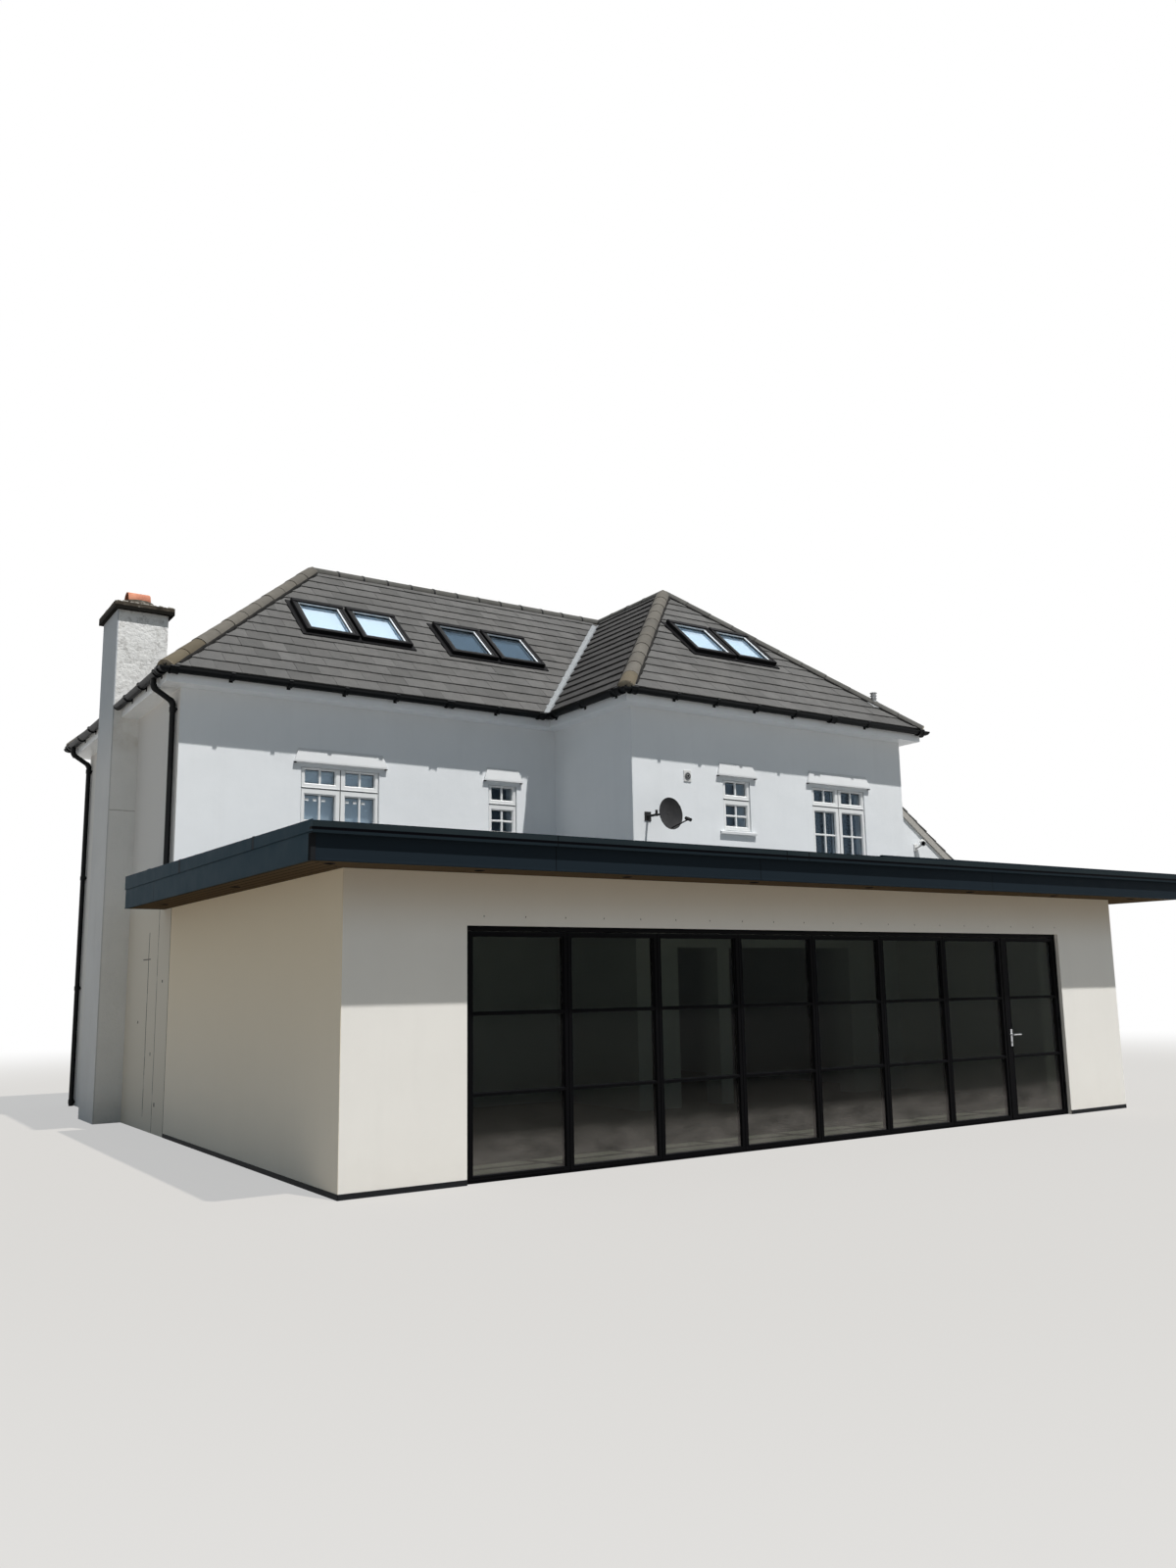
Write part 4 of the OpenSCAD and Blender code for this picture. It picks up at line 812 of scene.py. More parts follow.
def round_tiles(shape, a, b, slot, radius, span, flare=0.0, collars=None, first=None):
    """Half-round tiles end to end between two points, with a gap or a collar at each joint."""
    ahead, across, up = line_axes(a, b)

    def arc(start, end, inner, outer, half, tone, slot, flare=0.0):
        """One round tile, whose lower end may be wider by twice the flare."""
        corners = ((inner + flare, start), (outer + flare, start), (outer - flare, end), (inner - flare, end))
        sections = []
        for k in range(ROUND_STEPS + 1):
            angle = math.radians(-half + 2 * half * k / ROUND_STEPS)
            out = across * math.sin(angle) + up * math.cos(angle)
            sections.append([a + ahead * s + out * r for r, s in corners])
        shape.loft(sections, tone, slot)

    count = max(1, round((b - a).length / ROUND_L))
    step = (b - a).length / count
    for i in range(count):
        outer = radius + random.uniform(-0.0015, 0.002)
        own = first[0] if first and i < first[1] else slot
        arc(i * step + ROUND_GAP / 2, (i + 1) * step - ROUND_GAP / 2, outer - ROUND_T, outer, span, random.random(),
            own, flare)
        if collars is not None and i:
            arc(i * step - COLLAR_HALF, i * step + COLLAR_HALF, outer - COLLAR_IN, outer + COLLAR_OUT,
                span + COLLAR_MORE, 0.5, collars)


def hip_edges(shape, corner, peak, slot):
    """Dark strips of painted shadow between a hip's round tiles and the tiles beside them, and the mortar in its foot.
    """
    b = Vector((*peak, RIDGE_Z))
    a = Vector((*corner, EDGE_Z)).lerp(b, 0.03)
    ahead, across, up = line_axes(a, b)
    tilt = math.sin(PITCH) / math.sqrt(2)
    rise = math.sin(PITCH) * math.sin(HIP_PITCH) + math.cos(PITCH) * math.cos(HIP_PITCH)
    # Mortar closes the lowest tile's end
    foot = Vector((*corner, EDGE_Z - HIP_SINK)).lerp(Vector((*peak, RIDGE_Z - HIP_SINK)), HIP_FOOT)
    angles = [math.radians(-72 + 144 * k / 14) for k in range(15)]
    end = [foot + (across * math.sin(t) + up * math.cos(t)) * (HIP_R - 0.001) for t in angles] + [foot + up * 0.030]
    shape.loft([[p + ahead * s for p in end] for s in (-0.004, 0.012)], slot=slot + 1)
    length = (b - a).length - 0.12
    count = round(length / (ROUND_L / 2))
    for side in (-1, 1):
        for k in range(count):
            far = LINE_OUT + random.uniform(0.0, 0.012)
            section = ((LINE_IN, LINE_FOOT), (LINE_IN, LINE_TOP), (far, LINE_TOP), (far + 0.004, LINE_FOOT))
            shape.loft([[a + ahead * s + across * side * y + up * ((LINE_LIFT + z - tilt * y) / rise)
                         for y, z in section] for s in (length * k / count, length * (k + 1) / count)], slot=slot)


def lay_ridges():
    # The tan hips of the garden and left sides, with browner tiles at their feet, and the grey ones at the right
    hips, ridges = Shape(), Shape()
    for corner, peak, slot, first in ((CORNER_A, HIP_TOP, 0, (1, 2)), (CORNER_F, HIP_TOP, 0, None),
                                      (CORNER_E, MEETING, 2, None), (CORNER_C, APEX, 0, (1, 1)),
                                      (CORNER_D, APEX, 2, None)):
        a, b = Vector((*corner, EDGE_Z - HIP_SINK)), Vector((*peak, RIDGE_Z - HIP_SINK))
        round_tiles(hips, a.lerp(b, HIP_FOOT), b, slot, HIP_R, HIP_SPAN, HIP_FLARE, first=first)
        hip_edges(hips, corner, peak, 3)
    hips.piece("hip_tiles", HIP_TILE, FOOT_TILE, RIDGE_TILE, PAINTED_SHADOW_LINE, FOOT_MORTAR)
    for start in (HIP_TOP, APEX):
        a, b = [Vector((*p, RIDGE_Z - RIDGE_SINK)) for p in (start, MEETING)]
        round_tiles(ridges, a, b, 0, RIDGE_R, RIDGE_SPAN, collars=1)
    ridges.piece("ridge_tiles", RIDGE_TILE, GUTTER_BLACK)


# Rooflights: mouldings as (inward, outward) from the outer edge of a frame. The sashes' also have their slot

COVER_PROFILES = (
    [(-0.004, 0.05), (-0.004, 0.088), (0.002, 0.092), (0.036, 0.092), (0.040, 0.088), (0.040, 0.05)],
    [(-FLASHING - 0.012, 0.008), (-FLASHING - 0.012, 0.028), (-FLASHING, 0.031), (-0.006, 0.036), (-0.006, 0.008)],
)
SASH_PROFILES = (
    ([(0.041, 0.048), (0.041, 0.081), (0.046, 0.084), (0.066, 0.084), (0.084, 0.068), (0.092, 0.064),
      (0.092, 0.048)], 0),
    ([(0.092, 0.048), (0.092, 0.058), (0.099, 0.055), (0.099, 0.048)], 1),
    ([(0.0745, -0.12), (0.0745, 0.024), (0.082, 0.026), (0.082, -0.12)], 2),
    ([(0.078, 0.070), (0.079, 0.077), (0.090, 0.070), (0.091, 0.0635), (0.085, 0.0635)], 2),
)
BLIND_INSET, BLIND_PLEATS = 0.083, 9


def dress_rooflights():
    covers, sashes, blinds = Shape(), Shape(), Shape()
    hw, hl = ROOFLIGHT_W / 2, ROOFLIGHT_L / 2
    outline = (-hw, -hl, hw, hl)
    for slope, x, blind in ROOFLIGHTS:
        place = slope.at(x - slope.origin.x, ROOFLIGHT_UP)
        for profile in COVER_PROFILES:
            covers.frame(place, outline, profile)
        covers.block(place, (-hw, hl - 0.085, 0.085), (hw, hl, 0.100), 0.004)
        covers.block(place, (-hw + 0.05, -hl + 0.008, 0.09), (-hw + 0.09, -hl + 0.03, 0.096), 0.002)
        for profile, slot in SASH_PROFILES:
            sashes.frame(place, outline, profile, slot)
        u0, v0, u1, v1 = grown(outline, -BLIND_INSET)
        if blind:
            pleat = (ROOFLIGHT_L - 2 * BLIND_INSET) / BLIND_PLEATS
            for k in range(BLIND_PLEATS):
                low, high = v0 + pleat * k, v0 + pleat * (k + 1)
                section = ((low, 0.004), ((low + high) / 2, 0.007), (high, 0.004), (high, 0.0), (low, 0.0))
                blinds.loft([[place(u, v, w) for v, w in section] for u in (u0, u1)])
        else:
            # Without a blind, a dark sheet of painted shade
            blinds.block(place, (u0, v0, -0.004), (u1, v1, 0.004), 0.001, slot=1)
    covers.piece("rooflight_covers", ROOFLIGHT_BLACK)
    sashes.piece("rooflight_sashes", SASH_GREY, GUTTER_BLACK, BOARD_WHITE)
    blinds.piece("rooflight_blinds", BLIND, PAINTED_SHADE_SHEET)


# Windows: wall side, left and front edges, sill height, width, height, lights side by side and what hangs inside

SET_BACK, FRAME_EDGE, MEETING_STILE, GLASS_FACE = 0.025, 0.060, 0.140, -0.0485
WINDOW_HEAD, WINDOW_FOOT, TOP_LIGHT, LOWER_TOP, LIGHT_JOINT = 0.027, 0.070, 0.199, 0.342, 0.066
SASH_SIDE, SASH_TOP, SASH_GAP = 0.012, 0.006, 0.005
HOOD_ENDS = {0.44: 0.08, 0.48: 0.105}
WINDOWS = [
    ("garden", 1.495, MAIN_Y, 3.25, 1.04, 1.07, 2, "blind"), ("garden", 4.130, MAIN_Y, 3.60, 0.44, 0.70, 1, None),
    ("garden", 6.700, WING_Y, 3.60, 0.48, 0.695, 1, None), ("garden", 8.340, WING_Y, 3.25, 1.05, 1.07, 2, "shutters"),
    ("street", 2.50, STREET_Y, 0.9, 1.3, 1.2, 2, "blind"), ("street", 9.00, STREET_Y, 0.9, 1.3, 1.2, 2, "blind"),
    ("street", 2.37, STREET_Y, 3.25, 1.04, 1.07, 2, "blind"), ("street", 5.62, STREET_Y, 3.25, 1.04, 1.07, 2, None),
    ("street", 8.87, STREET_Y, 3.25, 1.04, 1.07, 2, "blind"), ("right", HOUSE_W, 9.05, 3.60, 0.48, 0.695, 1, None),
]


def dress_sash(sashes, seals, face, glass, outer, rows):
    """A sash round a glazed opening, with a bevel to the glass, a dark seal and slim white bars."""
    sashes.mould(face, [(outer, -0.001), (outer, 0.011), (grown(outer, -0.003), 0.014), (grown(glass, 0.014), 0.014),
                        (grown(glass, 0.003), 0.003), (grown(glass, -0.004), -0.0235), (grown(glass, 0.002), -0.0235),
                        (grown(glass, 0.002), -0.001)])
    seals.frame(face, glass, [(0.003, -0.0238), (0.003, -0.019), (0.008, -0.020), (0.009, -0.0238)])
    u0, v0, u1, v1 = glass
    middle = (u0 + u1) / 2
    sashes.block(face, (middle - 0.014, v0, -0.0236), (middle + 0.014, v1, 0.001), 0.005)
    for k in range(1, rows):
        level = v0 + (v1 - v0) * k / rows
        sashes.block(face, (u0, level - 0.013, -0.0235), (u1, level + 0.013, 0.0005), 0.005)


def dress_windows():
    sashes, seals, screens = Shape(), Shape(), Shape()
    for side, x, y, z, width, height, lights, screen in WINDOWS:
        wall = facing(side, x, y, z)
        face = wall.at(0, 0, -SET_BACK)
        light = (width - 2 * FRAME_EDGE - (lights - 1) * MEETING_STILE) / lights
        joint = height - TOP_LIGHT - LIGHT_JOINT
        for i in range(lights):
            u0 = FRAME_EDGE + i * (light + MEETING_STILE)
            u1 = u0 + light
            left = SASH_SIDE if i == 0 else u0 - MEETING_STILE / 2 + SASH_GAP
            right = width - SASH_SIDE if i == lights - 1 else u1 + MEETING_STILE / 2 - SASH_GAP
            dress_sash(sashes, seals, face, (u0, height - TOP_LIGHT, u1, height - WINDOW_HEAD),
                       (left, joint + SASH_GAP, right, height - SASH_TOP), 1)
            dress_sash(sashes, seals, face, (u0, WINDOW_FOOT, u1, height - LOWER_TOP),
                       (left, SASH_SIDE, right, joint - SASH_GAP), 2)
            # A drip lip over the dark joint between the lights
            sashes.block(face, (left, joint + 0.004, 0.0), (right, joint + 0.012, 0.022), 0.003)
            seals.block(face, (left, joint - SASH_GAP, -0.001), (right, joint + 0.0045, 0.004))
            if i:
                seals.block(face, (left - 0.0095, SASH_SIDE, -0.001), (left - 0.0005, height - SASH_TOP, 0.004))
        if screen == "blind":
            hang_blind(screens, wall, width, height)
        elif screen == "shutters":
            hang_shutters(screens, wall, width, height)
        # Dark blocks under the ends of the hood, painted shade at its drip corners
        end = HOOD_ENDS.get(width, 0.10)
        for u in (-end, width + end - 0.03):
            seals.block(wall, (u, height + 0.040, 0.0), (u + 0.03, height + 0.049, 0.036), 0.002)
    sashes.piece("window_sashes", WINDOW_WHITE)
    seals.piece("window_seals", SEAL)
    screens.piece("window_screens", BLIND, SHUTTER, WINDOW_WHITE)


def hang_blind(shape, wall, width, height):
    """A pale blind of level slats close behind the glass, and white tabs at the head of the lower lights' glass."""
    slat, step, v, w = 0.0235, 0.025, 0.02, -0.122
    while v < height - 0.06:
        lean = random.uniform(-0.001, 0.001)
        section = ((v, w), (v + slat, w + 0.006 + lean), (v + slat, w + 0.0045 + lean), (v, w - 0.0015))
        shape.loft([[wall(u, *corner) for corner in section] for u in (0.02, width - 0.02)], random.random())
        v += step
    shape.block(wall, (0.02, height - 0.065, w - 0.02), (width - 0.02, height - 0.025, w + 0.012), 0.003)
    light = (width - 2 * FRAME_EDGE - MEETING_STILE) / 2
    top = height - LOWER_TOP - 0.044
    for i in (0, 1):
        for share in (0.03, 0.29, 0.58):
            u = FRAME_EDGE + i * (light + MEETING_STILE) + light * share
            shape.block(wall, (u, top - 0.034, GLASS_FACE), (u + 0.048, top, GLASS_FACE + 0.006), 0.001, slot=2)


SHUTTER_PROFILE = [(0, -0.210), (0, -0.182), (0.003, -0.180), (0.037, -0.180), (0.040, -0.182), (0.040, -0.210)]
LOUVRE = ((-0.017, -0.182), (-0.013, -0.180), (0.020, -0.206), (0.016, -0.210))
SHUTTERS, LOUVRE_STEP = 4, 0.052


def hang_shutters(shape, wall, width, height):
    """Dark louvred panels behind the glass."""
    step = (width - 0.05) / SHUTTERS
    shape.block(wall, (0.022, 0.018, -0.218), (width - 0.022, height - 0.028, -0.2105), slot=1)
    for i in range(SHUTTERS):
        u0, u1 = 0.025 + i * step + 0.002, 0.025 + (i + 1) * step - 0.002
        shape.frame(wall, (u0, 0.02, u1, height - 0.03), SHUTTER_PROFILE, 1)
        v = 0.08
        while v < height - 0.09:
            shape.loft([[wall(u, v + rise, w) for rise, w in LOUVRE] for u in (u0 + 0.039, u1 - 0.039)],
                       random.random(), 1)
            v += LOUVRE_STEP


# Gutters

GUTTER_R, GUTTER_RIM = 0.056, SOFFIT_Z + 0.148
FASCIA_OUT = 0.220
BRACKET_STEP, BRACKET_W = 0.705, 0.046


def gutter_bracket(shape, place, u):
    """A strap under the gutter from the fascia to its front lip. The place is on the fascia, at the gutter's rim."""
    span = (u - BRACKET_W / 2, u + BRACKET_W / 2)
    shape.hoop(place, (0, GUTTER_R), (GUTTER_R - 0.001, GUTTER_R + 0.014), (180, 338), span)
    shape.block(place, (span[0], -0.080, 0), (span[1], 0.0, 0.005))
    shape.hoop(place, (0.004, 2 * GUTTER_R - 0.008), (0.002, 0.016), (-60, 150), span, 6)


def gutter_union(shape, place, u, width=0.11):
    span = (u - width / 2, u + width / 2)
    shape.hoop(place, (0, GUTTER_R), (GUTTER_R - 0.001, GUTTER_R + 0.012), (180, 344), span, 14)
    for end in (span[0] + 0.009, span[1] - 0.009):
        shape.hoop(place, (0, GUTTER_R), (GUTTER_R, GUTTER_R + 0.018), (184, 340), (end - 0.009, end + 0.009), 14)
    shape.hoop(place, (0.006, 2 * GUTTER_R - 0.008), (0.002, 0.017), (-60, 150), span, 6)


def gutter_end(shape, place, u):
    """A stop end: a half-round plate over the gutter's end."""
    r, angles = GUTTER_R * 1.04, [math.pi * k / 12 for k in range(13)]
    half = [place(0, -r * math.sin(a), GUTTER_R - r * math.cos(a)) for a in angles]
    shape.loft([[p + place.u * (u + d) for p in half] for d in (-0.004, 0.004)])


def dress_gutters():
    shape = Shape()
    left, wing_left, right = -FASCIA_OUT, WING_X - FASCIA_OUT, HOUSE_W + FASCIA_OUT
    main, wing, street = MAIN_Y - FASCIA_OUT, WING_Y - FASCIA_OUT, STREET_Y + FASCIA_OUT
    for y, brackets, union in ((main, (0.522, 1.229, 1.949, 2.641, 4.121), 3.398),
                               (wing, (5.738, 6.412, 7.117, 7.821, 9.24), 8.535)):
        place = facing("garden", 0, y, GUTTER_RIM)
        for u in brackets:
            gutter_bracket(shape, place, u)
        gutter_union(shape, place, union)
    # The other runs, with brackets at even steps, but none on the chimney
    for side, x, y, length, skip in (
            ("left", left, STREET_Y, STREET_Y - MAIN_Y, (1.95, 3.2)),
            ("left", wing_left, MAIN_Y - 0.4, MAIN_Y - WING_Y - 0.4, (0, 0)),
            ("right", right, WING_Y, STREET_Y - WING_Y, (0, 0)), ("street", HOUSE_W, street, HOUSE_W, (0, 0))):
        place = facing(side, x, y, GUTTER_RIM)
        count = round(length / BRACKET_STEP)
        for k in range(count + 1):
            u = length * k / count
            if not skip[0] < u < skip[1]:
                (gutter_union if k and k % 4 == 0 else gutter_bracket)(shape, place, u)
    # Collars a little way from the corners, and further from the one under the valley
    d, valley = 0.06, 0.18
    for side, x, y, ends in (("garden", 0, main, (left + d, wing_left - valley)),
                             ("garden", 0, wing, (wing_left + d, right - d)),
                             ("left", left, 0, (-main - d, -street + d)),
                             ("left", wing_left, 0, (-wing - d, -main + valley)),
                             ("right", right, 0, (wing + d, street - d)),
                             ("street", 0, street, (-right + d, -left - d))):
        for u in ends:
            gutter_union(shape, facing(side, x, y, GUTTER_RIM), u, 0.10)
    place = facing("left", left, 0, GUTTER_RIM)
    gutter_end(shape, place, -CHIMNEY_LOW.y + 0.006)
    gutter_end(shape, place, -CHIMNEY_HIGH.y - 0.006)
    # The lean-to's gutter
    place = facing("right", LEAN_EDGE.x, 0, LEAN_EDGE.z - 0.040)
    for u in (0.15, 0.98, 1.81, 3.34, 4.10, 4.85):
        gutter_bracket(shape, place, LEAN_LOW.y + u)
    gutter_union(shape, place, LEAN_LOW.y + 2.58)
    gutter_end(shape, place, LEAN_LOW.y + 0.003)
    gutter_end(shape, place, LEAN_HIGH.y - 0.003)
    # The strip that closes the tiles' underside above the gutter
    low, high = EDGE_Z - 0.040, EDGE_Z - 0.004
    shape.loft([[Vector((*inner, low)), Vector((*outer, low)), Vector((*outer, high)), Vector((*inner, high))]
                for inner, outer in zip(house_corners(TILE_OUT - 0.002), house_corners(TILE_OUT + 0.004))], ring=True)
    shape.piece("gutter_fittings", GUTTER_BLACK)


# The lean-to's roof

def dress_lean_to():
    run = LEAN_EDGE.x - HOUSE_W
    pitch = math.atan2(LEAN_HIGH.z - LEAN_EDGE.z, run)
    length, up = LEAN_HIGH.y - LEAN_LOW.y, run / math.cos(pitch) - 0.02
    tile_slope("tiles_lean_to", slope_place((LEAN_EDGE.x, LEAN_LOW.y), 90, LEAN_EDGE.z, pitch),
               [(-0.034, 0), (length + 0.034, 0), (length + 0.034, up), (-0.034, up)])
    lead, reach = Shape(), 0.170
    drop = reach * math.tan(pitch)
    section = [(0, 0.16), (0.004, 0.16), (0.006, 0.045), (reach, 0.045 - drop), (reach, 0.038 - drop), (0, 0.030)]
    cuts = [LEAN_LOW.y - 0.02 + (length + 0.04) * k / 4 for k in range(5)]
    for y0, y1 in zip(cuts, cuts[1:]):
        lead.loft([[Vector((HOUSE_W + x, y, LEAN_HIGH.z + z)) for x, z in section] for y in (y0 - 0.03, y1 + 0.03)],
                  random.random())
    lead.piece("lean_to_flashing", LEAD)


# Chimney

APRON = ((0.001, 0.0), (-0.045, 0.0), (-0.045, 0.030), (-0.012, 0.036), (-0.006, 0.052), (0.001, 0.052))


def slope_z(x):
    """The height of the left slope's plane over a plan X."""
    return EDGE_Z + (x + TILE_OUT) * math.tan(PITCH)


def dress_chimney():
    """Flashing where the stack passes through the slope, its outer coat, and the crumbled edges of the cap's mortar."""
    lead, coat, crumbs = Shape(), Shape(), Shape()
    x0, x1, steps = -TILE_OUT + 0.02, CHIMNEY_HIGH.x, 4
    wall = facing("street", 0, CHIMNEY_HIGH.y)
    for k in range(steps):
        a, b = x0 + (x1 - x0) * k / steps, x0 + (x1 - x0) * (k + 1) / steps
        top = slope_z(b) + 0.07
        section = ((a, slope_z(a)), (b + 0.01, slope_z(b)), (b + 0.01, top), (a, top))
        lead.loft([[wall(-x, z, w) for x, z in section] for w in (-0.001, 0.004 + 0.001 * k)])
    foot = [(x0, 0.021), (x0, 0.026), (x1 + 0.12, 0.026), (x1 + 0.12, 0.021)]
    lead.loft([[Vector((x, CHIMNEY_HIGH.y + w, slope_z(x) + lift)) for x, lift in foot] for w in (0.0, 0.11)])
    lead.loft([[Vector((x, CHIMNEY_LOW.y + y, slope_z(x) + z)) for y, z in APRON] for x in (x0, x1 + 0.03)])
    z = slope_z(x1)
    lead.block(facing("right", x1, 0), (CHIMNEY_LOW.y - 0.03, z, 0.0), (CHIMNEY_HIGH.y + 0.03, z + 0.13, 0.005), 0.001)
    lead.piece("chimney_flashing", LEAD)
    coat.block(facing("left", CHIMNEY_LOW.x, 0), (-CHIMNEY_HIGH.y - 0.0005, 0.0, -0.002),
               (-CHIMNEY_LOW.y + 0.0005, CHIMNEY_HIGH.z - 0.001, 0.0135), 0.002)
    coat.piece("chimney_outer_coat", SHADED_COAT_RENDER)
    size = CAP_HIGH - CAP_LOW
    for side, x, y, length in (("garden", CAP_LOW.x, CAP_LOW.y, size.x), ("left", CAP_LOW.x, CAP_HIGH.y, size.y),
                               ("right", CAP_HIGH.x, CAP_LOW.y, size.y), ("street", CAP_HIGH.x, CAP_HIGH.y, size.x)):
        face = facing(side, x, y, CHIMNEY_HIGH.z + 0.095)
        u = 0.02
        while u < length - 0.05:
            wide, high, deep = random.uniform(0.03, 0.09), random.uniform(0.006, 0.022), random.uniform(0.02, 0.06)
            top = min(u + wide, length - 0.01)
            crumbs.loft([[face(u, -0.004, -0.001), face(top, -0.004, -0.001), face(top, -0.004, -deep),
                          face(u, -0.004, -deep)],
                         [face(u + 0.008, high, -0.008), face(top - 0.006, high * 0.7, -0.006),
                          face(top - 0.01, high * 0.6, -deep * 0.7), face(u + 0.01, high, -deep * 0.6)]])
            u += wide + random.uniform(0.0, 0.03)
    crumbs.piece("chimney_cap_mortar", CRUMB)


# Doors

DOOR_X, DOOR_W, DOOR_Y, JAMB, LEAVES = 1.110, 8.000, 0.045, 0.034, 8
LEAF_T, STILE, LOCK_STILE, BAR, LEAF_Z0, LEAF_FOOT = 0.064, 0.038, 0.100, 0.024, 0.020, 0.034
DOOR_H, DOOR_HEAD, LEAF_GAP, LEAF_TOP, PANES = 2.100, 0.040, 0.006, 0.040, 3
PANE_H = (DOOR_H - DOOR_HEAD - LEAF_GAP - LEAF_Z0 - LEAF_TOP - LEAF_FOOT - (PANES - 1) * BAR) / PANES
LEAF_FACES = ((facing("garden", 0, DOOR_Y), 1), (facing("street", 0, DOOR_Y + LEAF_T), -1))
BEAD_PROFILE = [(-0.011, -0.001), (-0.011, 0.002), (-0.004, 0.003), (0.002, -0.008), (0.002, -0.0195),
                (-0.001, -0.0195), (-0.001, -0.001)]
SEAL_PROFILE = [(0.0015, -0.0198), (0.0015, -0.016), (0.005, -0.0175), (0.005, -0.0198)]
HINGES, HINGE_W, HINGE_H, HINGE_R = (0.30, 1.04, 1.78), 0.030, 0.075, 0.007
WEEPS, WEEP_START, WEEP_STEP = 20, 1.27, 0.41


def bead_panes(shape, seals, x0, x1, stile):
    """Beads and seals round a leaf's panes, on both faces."""
    for face, turn in LEAF_FACES:
        for k in range(PANES):
            v = LEAF_Z0 + LEAF_FOOT + k * (PANE_H + BAR)
            rect = (x0 + stile, v, x1 - STILE, v + PANE_H) if turn > 0 else (STILE - x1, v, -x0 - stile, v + PANE_H)
            shape.frame(face, rect, BEAD_PROFILE)
            seals.frame(face, rect, SEAL_PROFILE)


def dress_doors():
    pitch = (DOOR_W - 2 * JAMB) / LEAVES
    start = DOOR_X + JAMB
    beads, seals = Shape(), Shape()
    inner = LEAF_FACES[1][0]
    for i in range(LEAVES - 1):
        x0 = start + i * pitch + (LEAF_GAP / 2 if i else LEAF_GAP)
        bead_panes(beads, seals, x0, start + (i + 1) * pitch - LEAF_GAP / 2, STILE)
        # Folding hinges on the inner side
        for z in HINGES if i else ():
            for u in (-x0 - HINGE_W, -x0 + LEAF_GAP):
                beads.block(inner, (u, z, 0.0), (u + HINGE_W, z + HINGE_H, 0.005), 0.001)
            beads.tube([inner(-x0 + LEAF_GAP / 2, v, HINGE_R) for v in (z, z + HINGE_H)], HINGE_R)
    beads.piece("folding_leaf_beads", DOOR_BLACK)
    seals.piece("folding_leaf_seals", SEAL)
    beads, seals, lock = Shape(), Shape(), Shape()
    x1 = DOOR_X + DOOR_W - JAMB - LEAF_GAP
    x0 = x1 - pitch + 0.016
    bead_panes(beads, seals, x0, x1, LOCK_STILE)
    for face, turn in LEAF_FACES:
        plate = face.at(turn * (x0 + 0.070), 0, 0.008)
        # The lock's cylinder under the lever, with two screws in the plate and a collar round the spindle
        lock.disc(plate.at(0, 0.868), 0.0085, -0.001, 0.006, 0.001, 20)
        lock.block(plate, (-0.005, 0.842, -0.001), (0.005, 0.866, 0.006), 0.001)
        seals.block(plate, (-0.0012, 0.860, 0.004), (0.0012, 0.872, 0.0065))
        for z in (0.829, 1.001):
            lock.disc(plate.at(0, z), 0.0035, -0.001, 0.0012, 0.0005, 12)
        lock.disc(plate.at(0, 0.950), 0.0145, -0.001, 0.007, 0.002)
    beads.piece("single_door_beads", DOOR_BLACK, body="single_door")
    seals.piece("single_door_seals", SEAL, body="single_door")
    lock.piece("single_door_lock", STEEL, body="single_door")
    # The strip at the foot of the extension's walls, and weep vents over the doors
    foot, weeps = Shape(), Shape()
    door_end = DOOR_X + DOOR_W
    for side, x, y, length in (("garden", 0, 0, DOOR_X), ("garden", door_end, 0, HOUSE_W - DOOR_X - DOOR_W),
                               ("left", 0, MAIN_Y, MAIN_Y), ("right", HOUSE_W, 0, WING_Y)):
        foot.block(facing(side, x, y), (0.0, 0.0, -0.001), (length, 0.045, 0.005), 0.001)
    foot.piece("wall_foot_strip", SEAL)
    wall = facing("garden", 0, 0)
    for k in range(WEEPS):
        u = WEEP_START + WEEP_STEP * k
        weeps.block(wall, (u - 0.005, 2.168, -0.001), (u + 0.005, 2.200, 0.003), 0.001)
        weeps.block(wall, (u - 0.0035, 2.172, 0.002), (u + 0.0035, 2.184, 0.0035), slot=1)
    weeps.piece("weep_vents", CREAM_RENDER, SEAL)


def dress_rooms():
    """The white ceiling inside the extension."""
    ceiling = Shape()
    inside, gap = 0.303, 0.003
    for low, high in (((inside, inside), (HOUSE_W - inside, WING_Y - gap)),
                      ((inside, WING_Y - gap), (WING_X - gap, MAIN_Y - gap))):
        ceiling.block(LEVEL, (*low, FLAT_Z - 0.020), (*high, FLAT_Z - 0.002))
    ceiling.piece("ceiling_lining", CEILING)


# Flat roof

LAMPS = [(-0.22, -0.27), (-0.22, 2.06), (-0.22, 4.56), (1.1, -0.24), (2.6, -0.24), (4.1, -0.24), (5.68, -0.24),
         (7.27, -0.24), (8.77, -0.24), (10.3, -0.24), (10.62, 1.6)]
CAPPING_Z, CAPPING_FALL = FLAT_Z + 0.305, 0.065


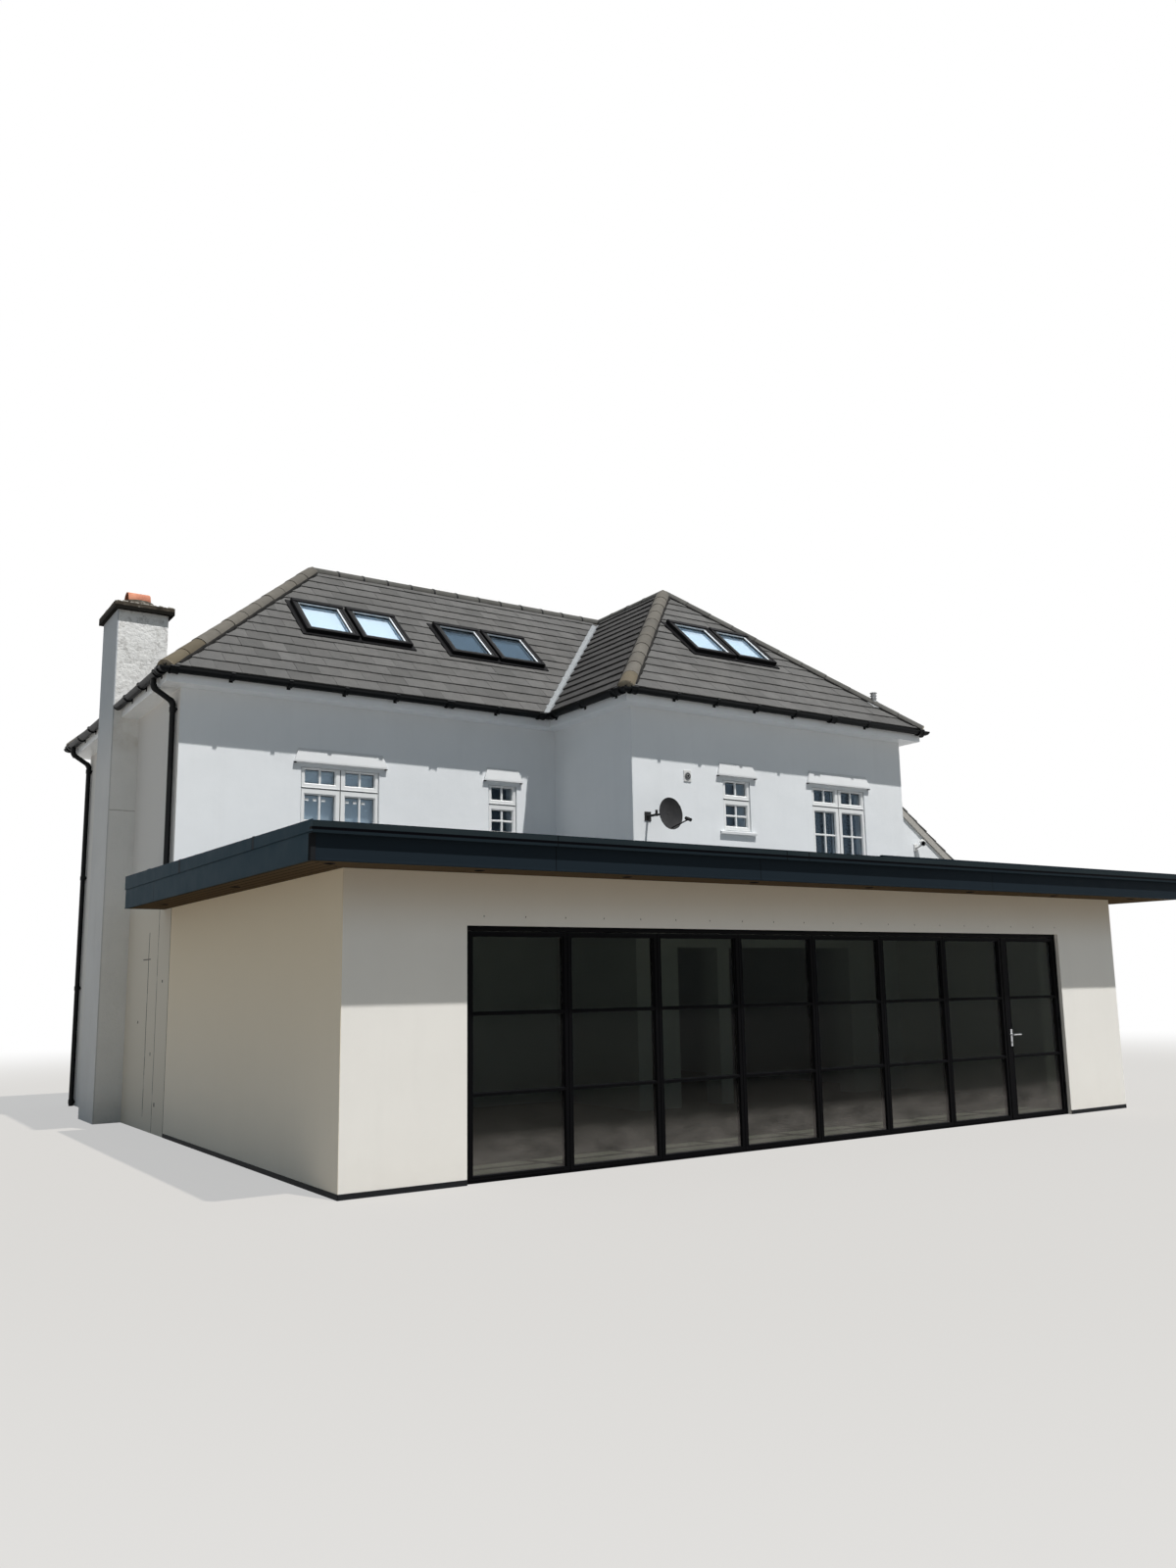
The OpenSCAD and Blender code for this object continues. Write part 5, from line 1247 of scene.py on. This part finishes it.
def dress_flat_roof():
    low, high, corner = FASCIA_LOW, FASCIA_HIGH, 0.04
    trim, lamps = Shape(), Shape()
    # Corner trims and the lip under the fascia
    for side, x, y, u0, u1 in (("garden", 0, low.y, low.x, low.x + corner), ("left", low.x, 0, -low.y - corner, -low.y),
                               ("garden", 0, low.y, high.x - corner, high.x),
                               ("right", high.x, 0, low.y, low.y + corner)):
        trim.block(facing(side, x, y), (u0, FLAT_Z - 0.001, -0.001), (u1, FLAT_Z + 0.205, 0.003), 0.001)
    for side, x, y, u0, u1 in (("garden", 0, low.y, low.x + corner, high.x - corner),
                               ("left", low.x, 0, -high.y, -low.y - corner),
                               ("right", high.x, 0, low.y + corner, WING_Y + 0.30)):
        trim.block(facing(side, x, y), (u0, FLAT_Z - 0.001, -0.001), (u1, FLAT_Z + 0.016, 0.004), 0.0015, slot=1)
    # The upstand along the front gutter's right part, and straps over the capping at both sides
    trim.block(LEVEL, (5.64, low.y - 0.043, FLAT_Z + 0.290), (high.x - 0.002, low.y - 0.006, FLAT_Z + 0.313), 0.002,
               slot=1)
    fall = CAPPING_FALL / (high.y - low.y)
    left, right = (low.x - 0.009, low.x + 0.132), (high.x - 0.132, high.x + 0.009)
    for (x0, x1), y, wide in ((left, 0.88, 0.05), (left, 3.14, 0.05), (left, 4.38, 0.12), (right, 0.88, 0.05),
                              (right, 2.9, 0.05)):
        z = CAPPING_Z + fall * (y - low.y)
        trim.block(LEVEL, (x0, y - wide / 2, z - 0.002), (x1, y + wide / 2, z + 0.005), 0.001, slot=1)
    trim.piece("flat_roof_trim", TRIM, ANTHRACITE)
    for x, y in LAMPS:
        place = Place((x, y, FLAT_Z), (1, 0, 0), (0, -1, 0))
        lamps.disc(place, 0.044, -0.002, 0.004, 0.002, 28)
        lamps.disc(place, 0.030, 0.003, 0.0048, 0.0005, 28, slot=1)
    lamps.piece("soffit_lamps", TRIM, LENS)


# Small things on the walls and the roof

def dress_walls():
    vent, eye, flue = Shape(), Shape(), Shape()
    face = facing("garden", 6.094, WING_Y, 4.29)
    vent.block(face, (-0.060, -0.075, -0.001), (0.060, 0.075, 0.010), 0.003)
    vent.disc(face, 0.048, 0.008, 0.020, 0.004, 32, slot=1)
    for k in range(3):
        vent.disc(face, 0.038 - 0.011 * k, 0.019 + 0.0004 * k, 0.0214 + 0.0004 * k, 0.0005, 32, slot=2 - k % 2)
    vent.piece("wall_vent", CAMERA_WHITE, LEAD, SEAL)

    wall = facing("garden", 10.77, LEAN_LOW.y, 3.60)
    head = wall(0.045, 0.070, 0.115)
    eye.block(wall, (-0.035, -0.055, -0.001), (0.035, 0.055, 0.018), 0.004)
    eye.tube([wall(0, 0, 0.01), wall(0, 0, 0.06), wall(0.015, 0.03, 0.10), head], [0.016, 0.016, 0.016, 0.020], 14)
    aim = Vector((-0.62, -0.72, -0.30)).normalized()
    eye.tube([head + aim * s for s in (-0.070, -0.066, 0.060, 0.066)], [0.030, 0.040, 0.044, 0.040], 28)
    eye.tube([head + aim * 0.062, head + aim * 0.0685], [0.031, 0.029], 28, slot=1)
    eye.tube([wall(0, -0.055, 0.012), wall(0, -0.66, 0.012)], 0.010)
    eye.piece("wall_camera", CAMERA_WHITE, LENS)

    x, y = 9.94, 3.46
    run = y - (WING_Y - TILE_OUT)
    ground = EDGE_Z + run * math.tan(PITCH)
    flue.tube([(x, y, ground - 0.03), (x, y, ground + 0.17)], 0.040, 24)
    for low, high, r in ((0.085, 0.100, 0.054), (0.128, 0.143, 0.054), (0.168, 0.188, 0.058)):
        flue.tube([(x, y, ground + z) for z in (low, (low + high) / 2, high)], [r * 0.8, r, r * 0.8], 24)
    place = WING_SLOPE.at(x - WING_SLOPE.origin.x, run / math.cos(PITCH))
    flue.block(place, (-0.14, -0.14, 0.010), (0.14, 0.16, 0.026), 0.003, slot=1)
    flue.piece("roof_vent", GALVANISED, LEAD)


PANEL_PROFILE = [(-0.012, -0.001), (-0.012, 0.005), (-0.002, 0.009), (0.006, 0.002), (0.014, -0.0095),
                 (-0.001, -0.0095), (-0.001, -0.001)]


def dress_street_door():
    shape, knob, step = Shape(), Shape(), Shape()
    face = facing("street", 5.570, STREET_Y, 0.060).at(0, 0, -0.090)
    for column in (0, 1):
        for v, high in ((0.193, 0.62), (0.943, 0.88)):
            u = 0.058 + 0.110 + column * 0.357
            shape.frame(face, (u, v, u + 0.247, v + high), PANEL_PROFILE)
            shape.block(face, (u + 0.035, v + 0.035, -0.011), (u + 0.212, v + high - 0.035, -0.002), 0.006)
    shape.block(face, (0.058, 0.004, -0.001), (0.882, 0.060, 0.018), 0.006)
    shape.piece("street_door_mouldings", DOOR_PAINT)
    knob.block(face, (0.30, 0.835, -0.001), (0.64, 0.895, 0.006), 0.002)
    knob.block(face, (0.325, 0.850, 0.005), (0.615, 0.880, 0.009), 0.002)
    knob.block(face, (0.083, 0.93, -0.001), (0.117, 1.16, 0.007), 0.002)
    knob.tube([face(u, 1.08, w) for u, w in ((0.10, 0.005), (0.10, 0.050), (0.125, 0.056), (0.215, 0.056))], 0.009, 14)
    knob.disc(face.at(0.10, 0.985), 0.0085, 0.005, 0.012, 0.001, 20)
    knob.piece("street_door_handle", STEEL)
    step.block(LEVEL, (4.60, STREET_Y - 0.11, 0.0), (5.60, STREET_Y + 0.03, 0.058), 0.004)
    step.piece("street_door_sill", CEMENT)


for dress in (tile_roof, lay_ridges, dress_rooflights, dress_windows, dress_gutters, dress_lean_to, dress_chimney,
              dress_doors, dress_rooms, dress_flat_roof, dress_walls, dress_street_door):
    dress()

settings = bpy.context.scene.view_settings
settings.view_transform = "Standard"
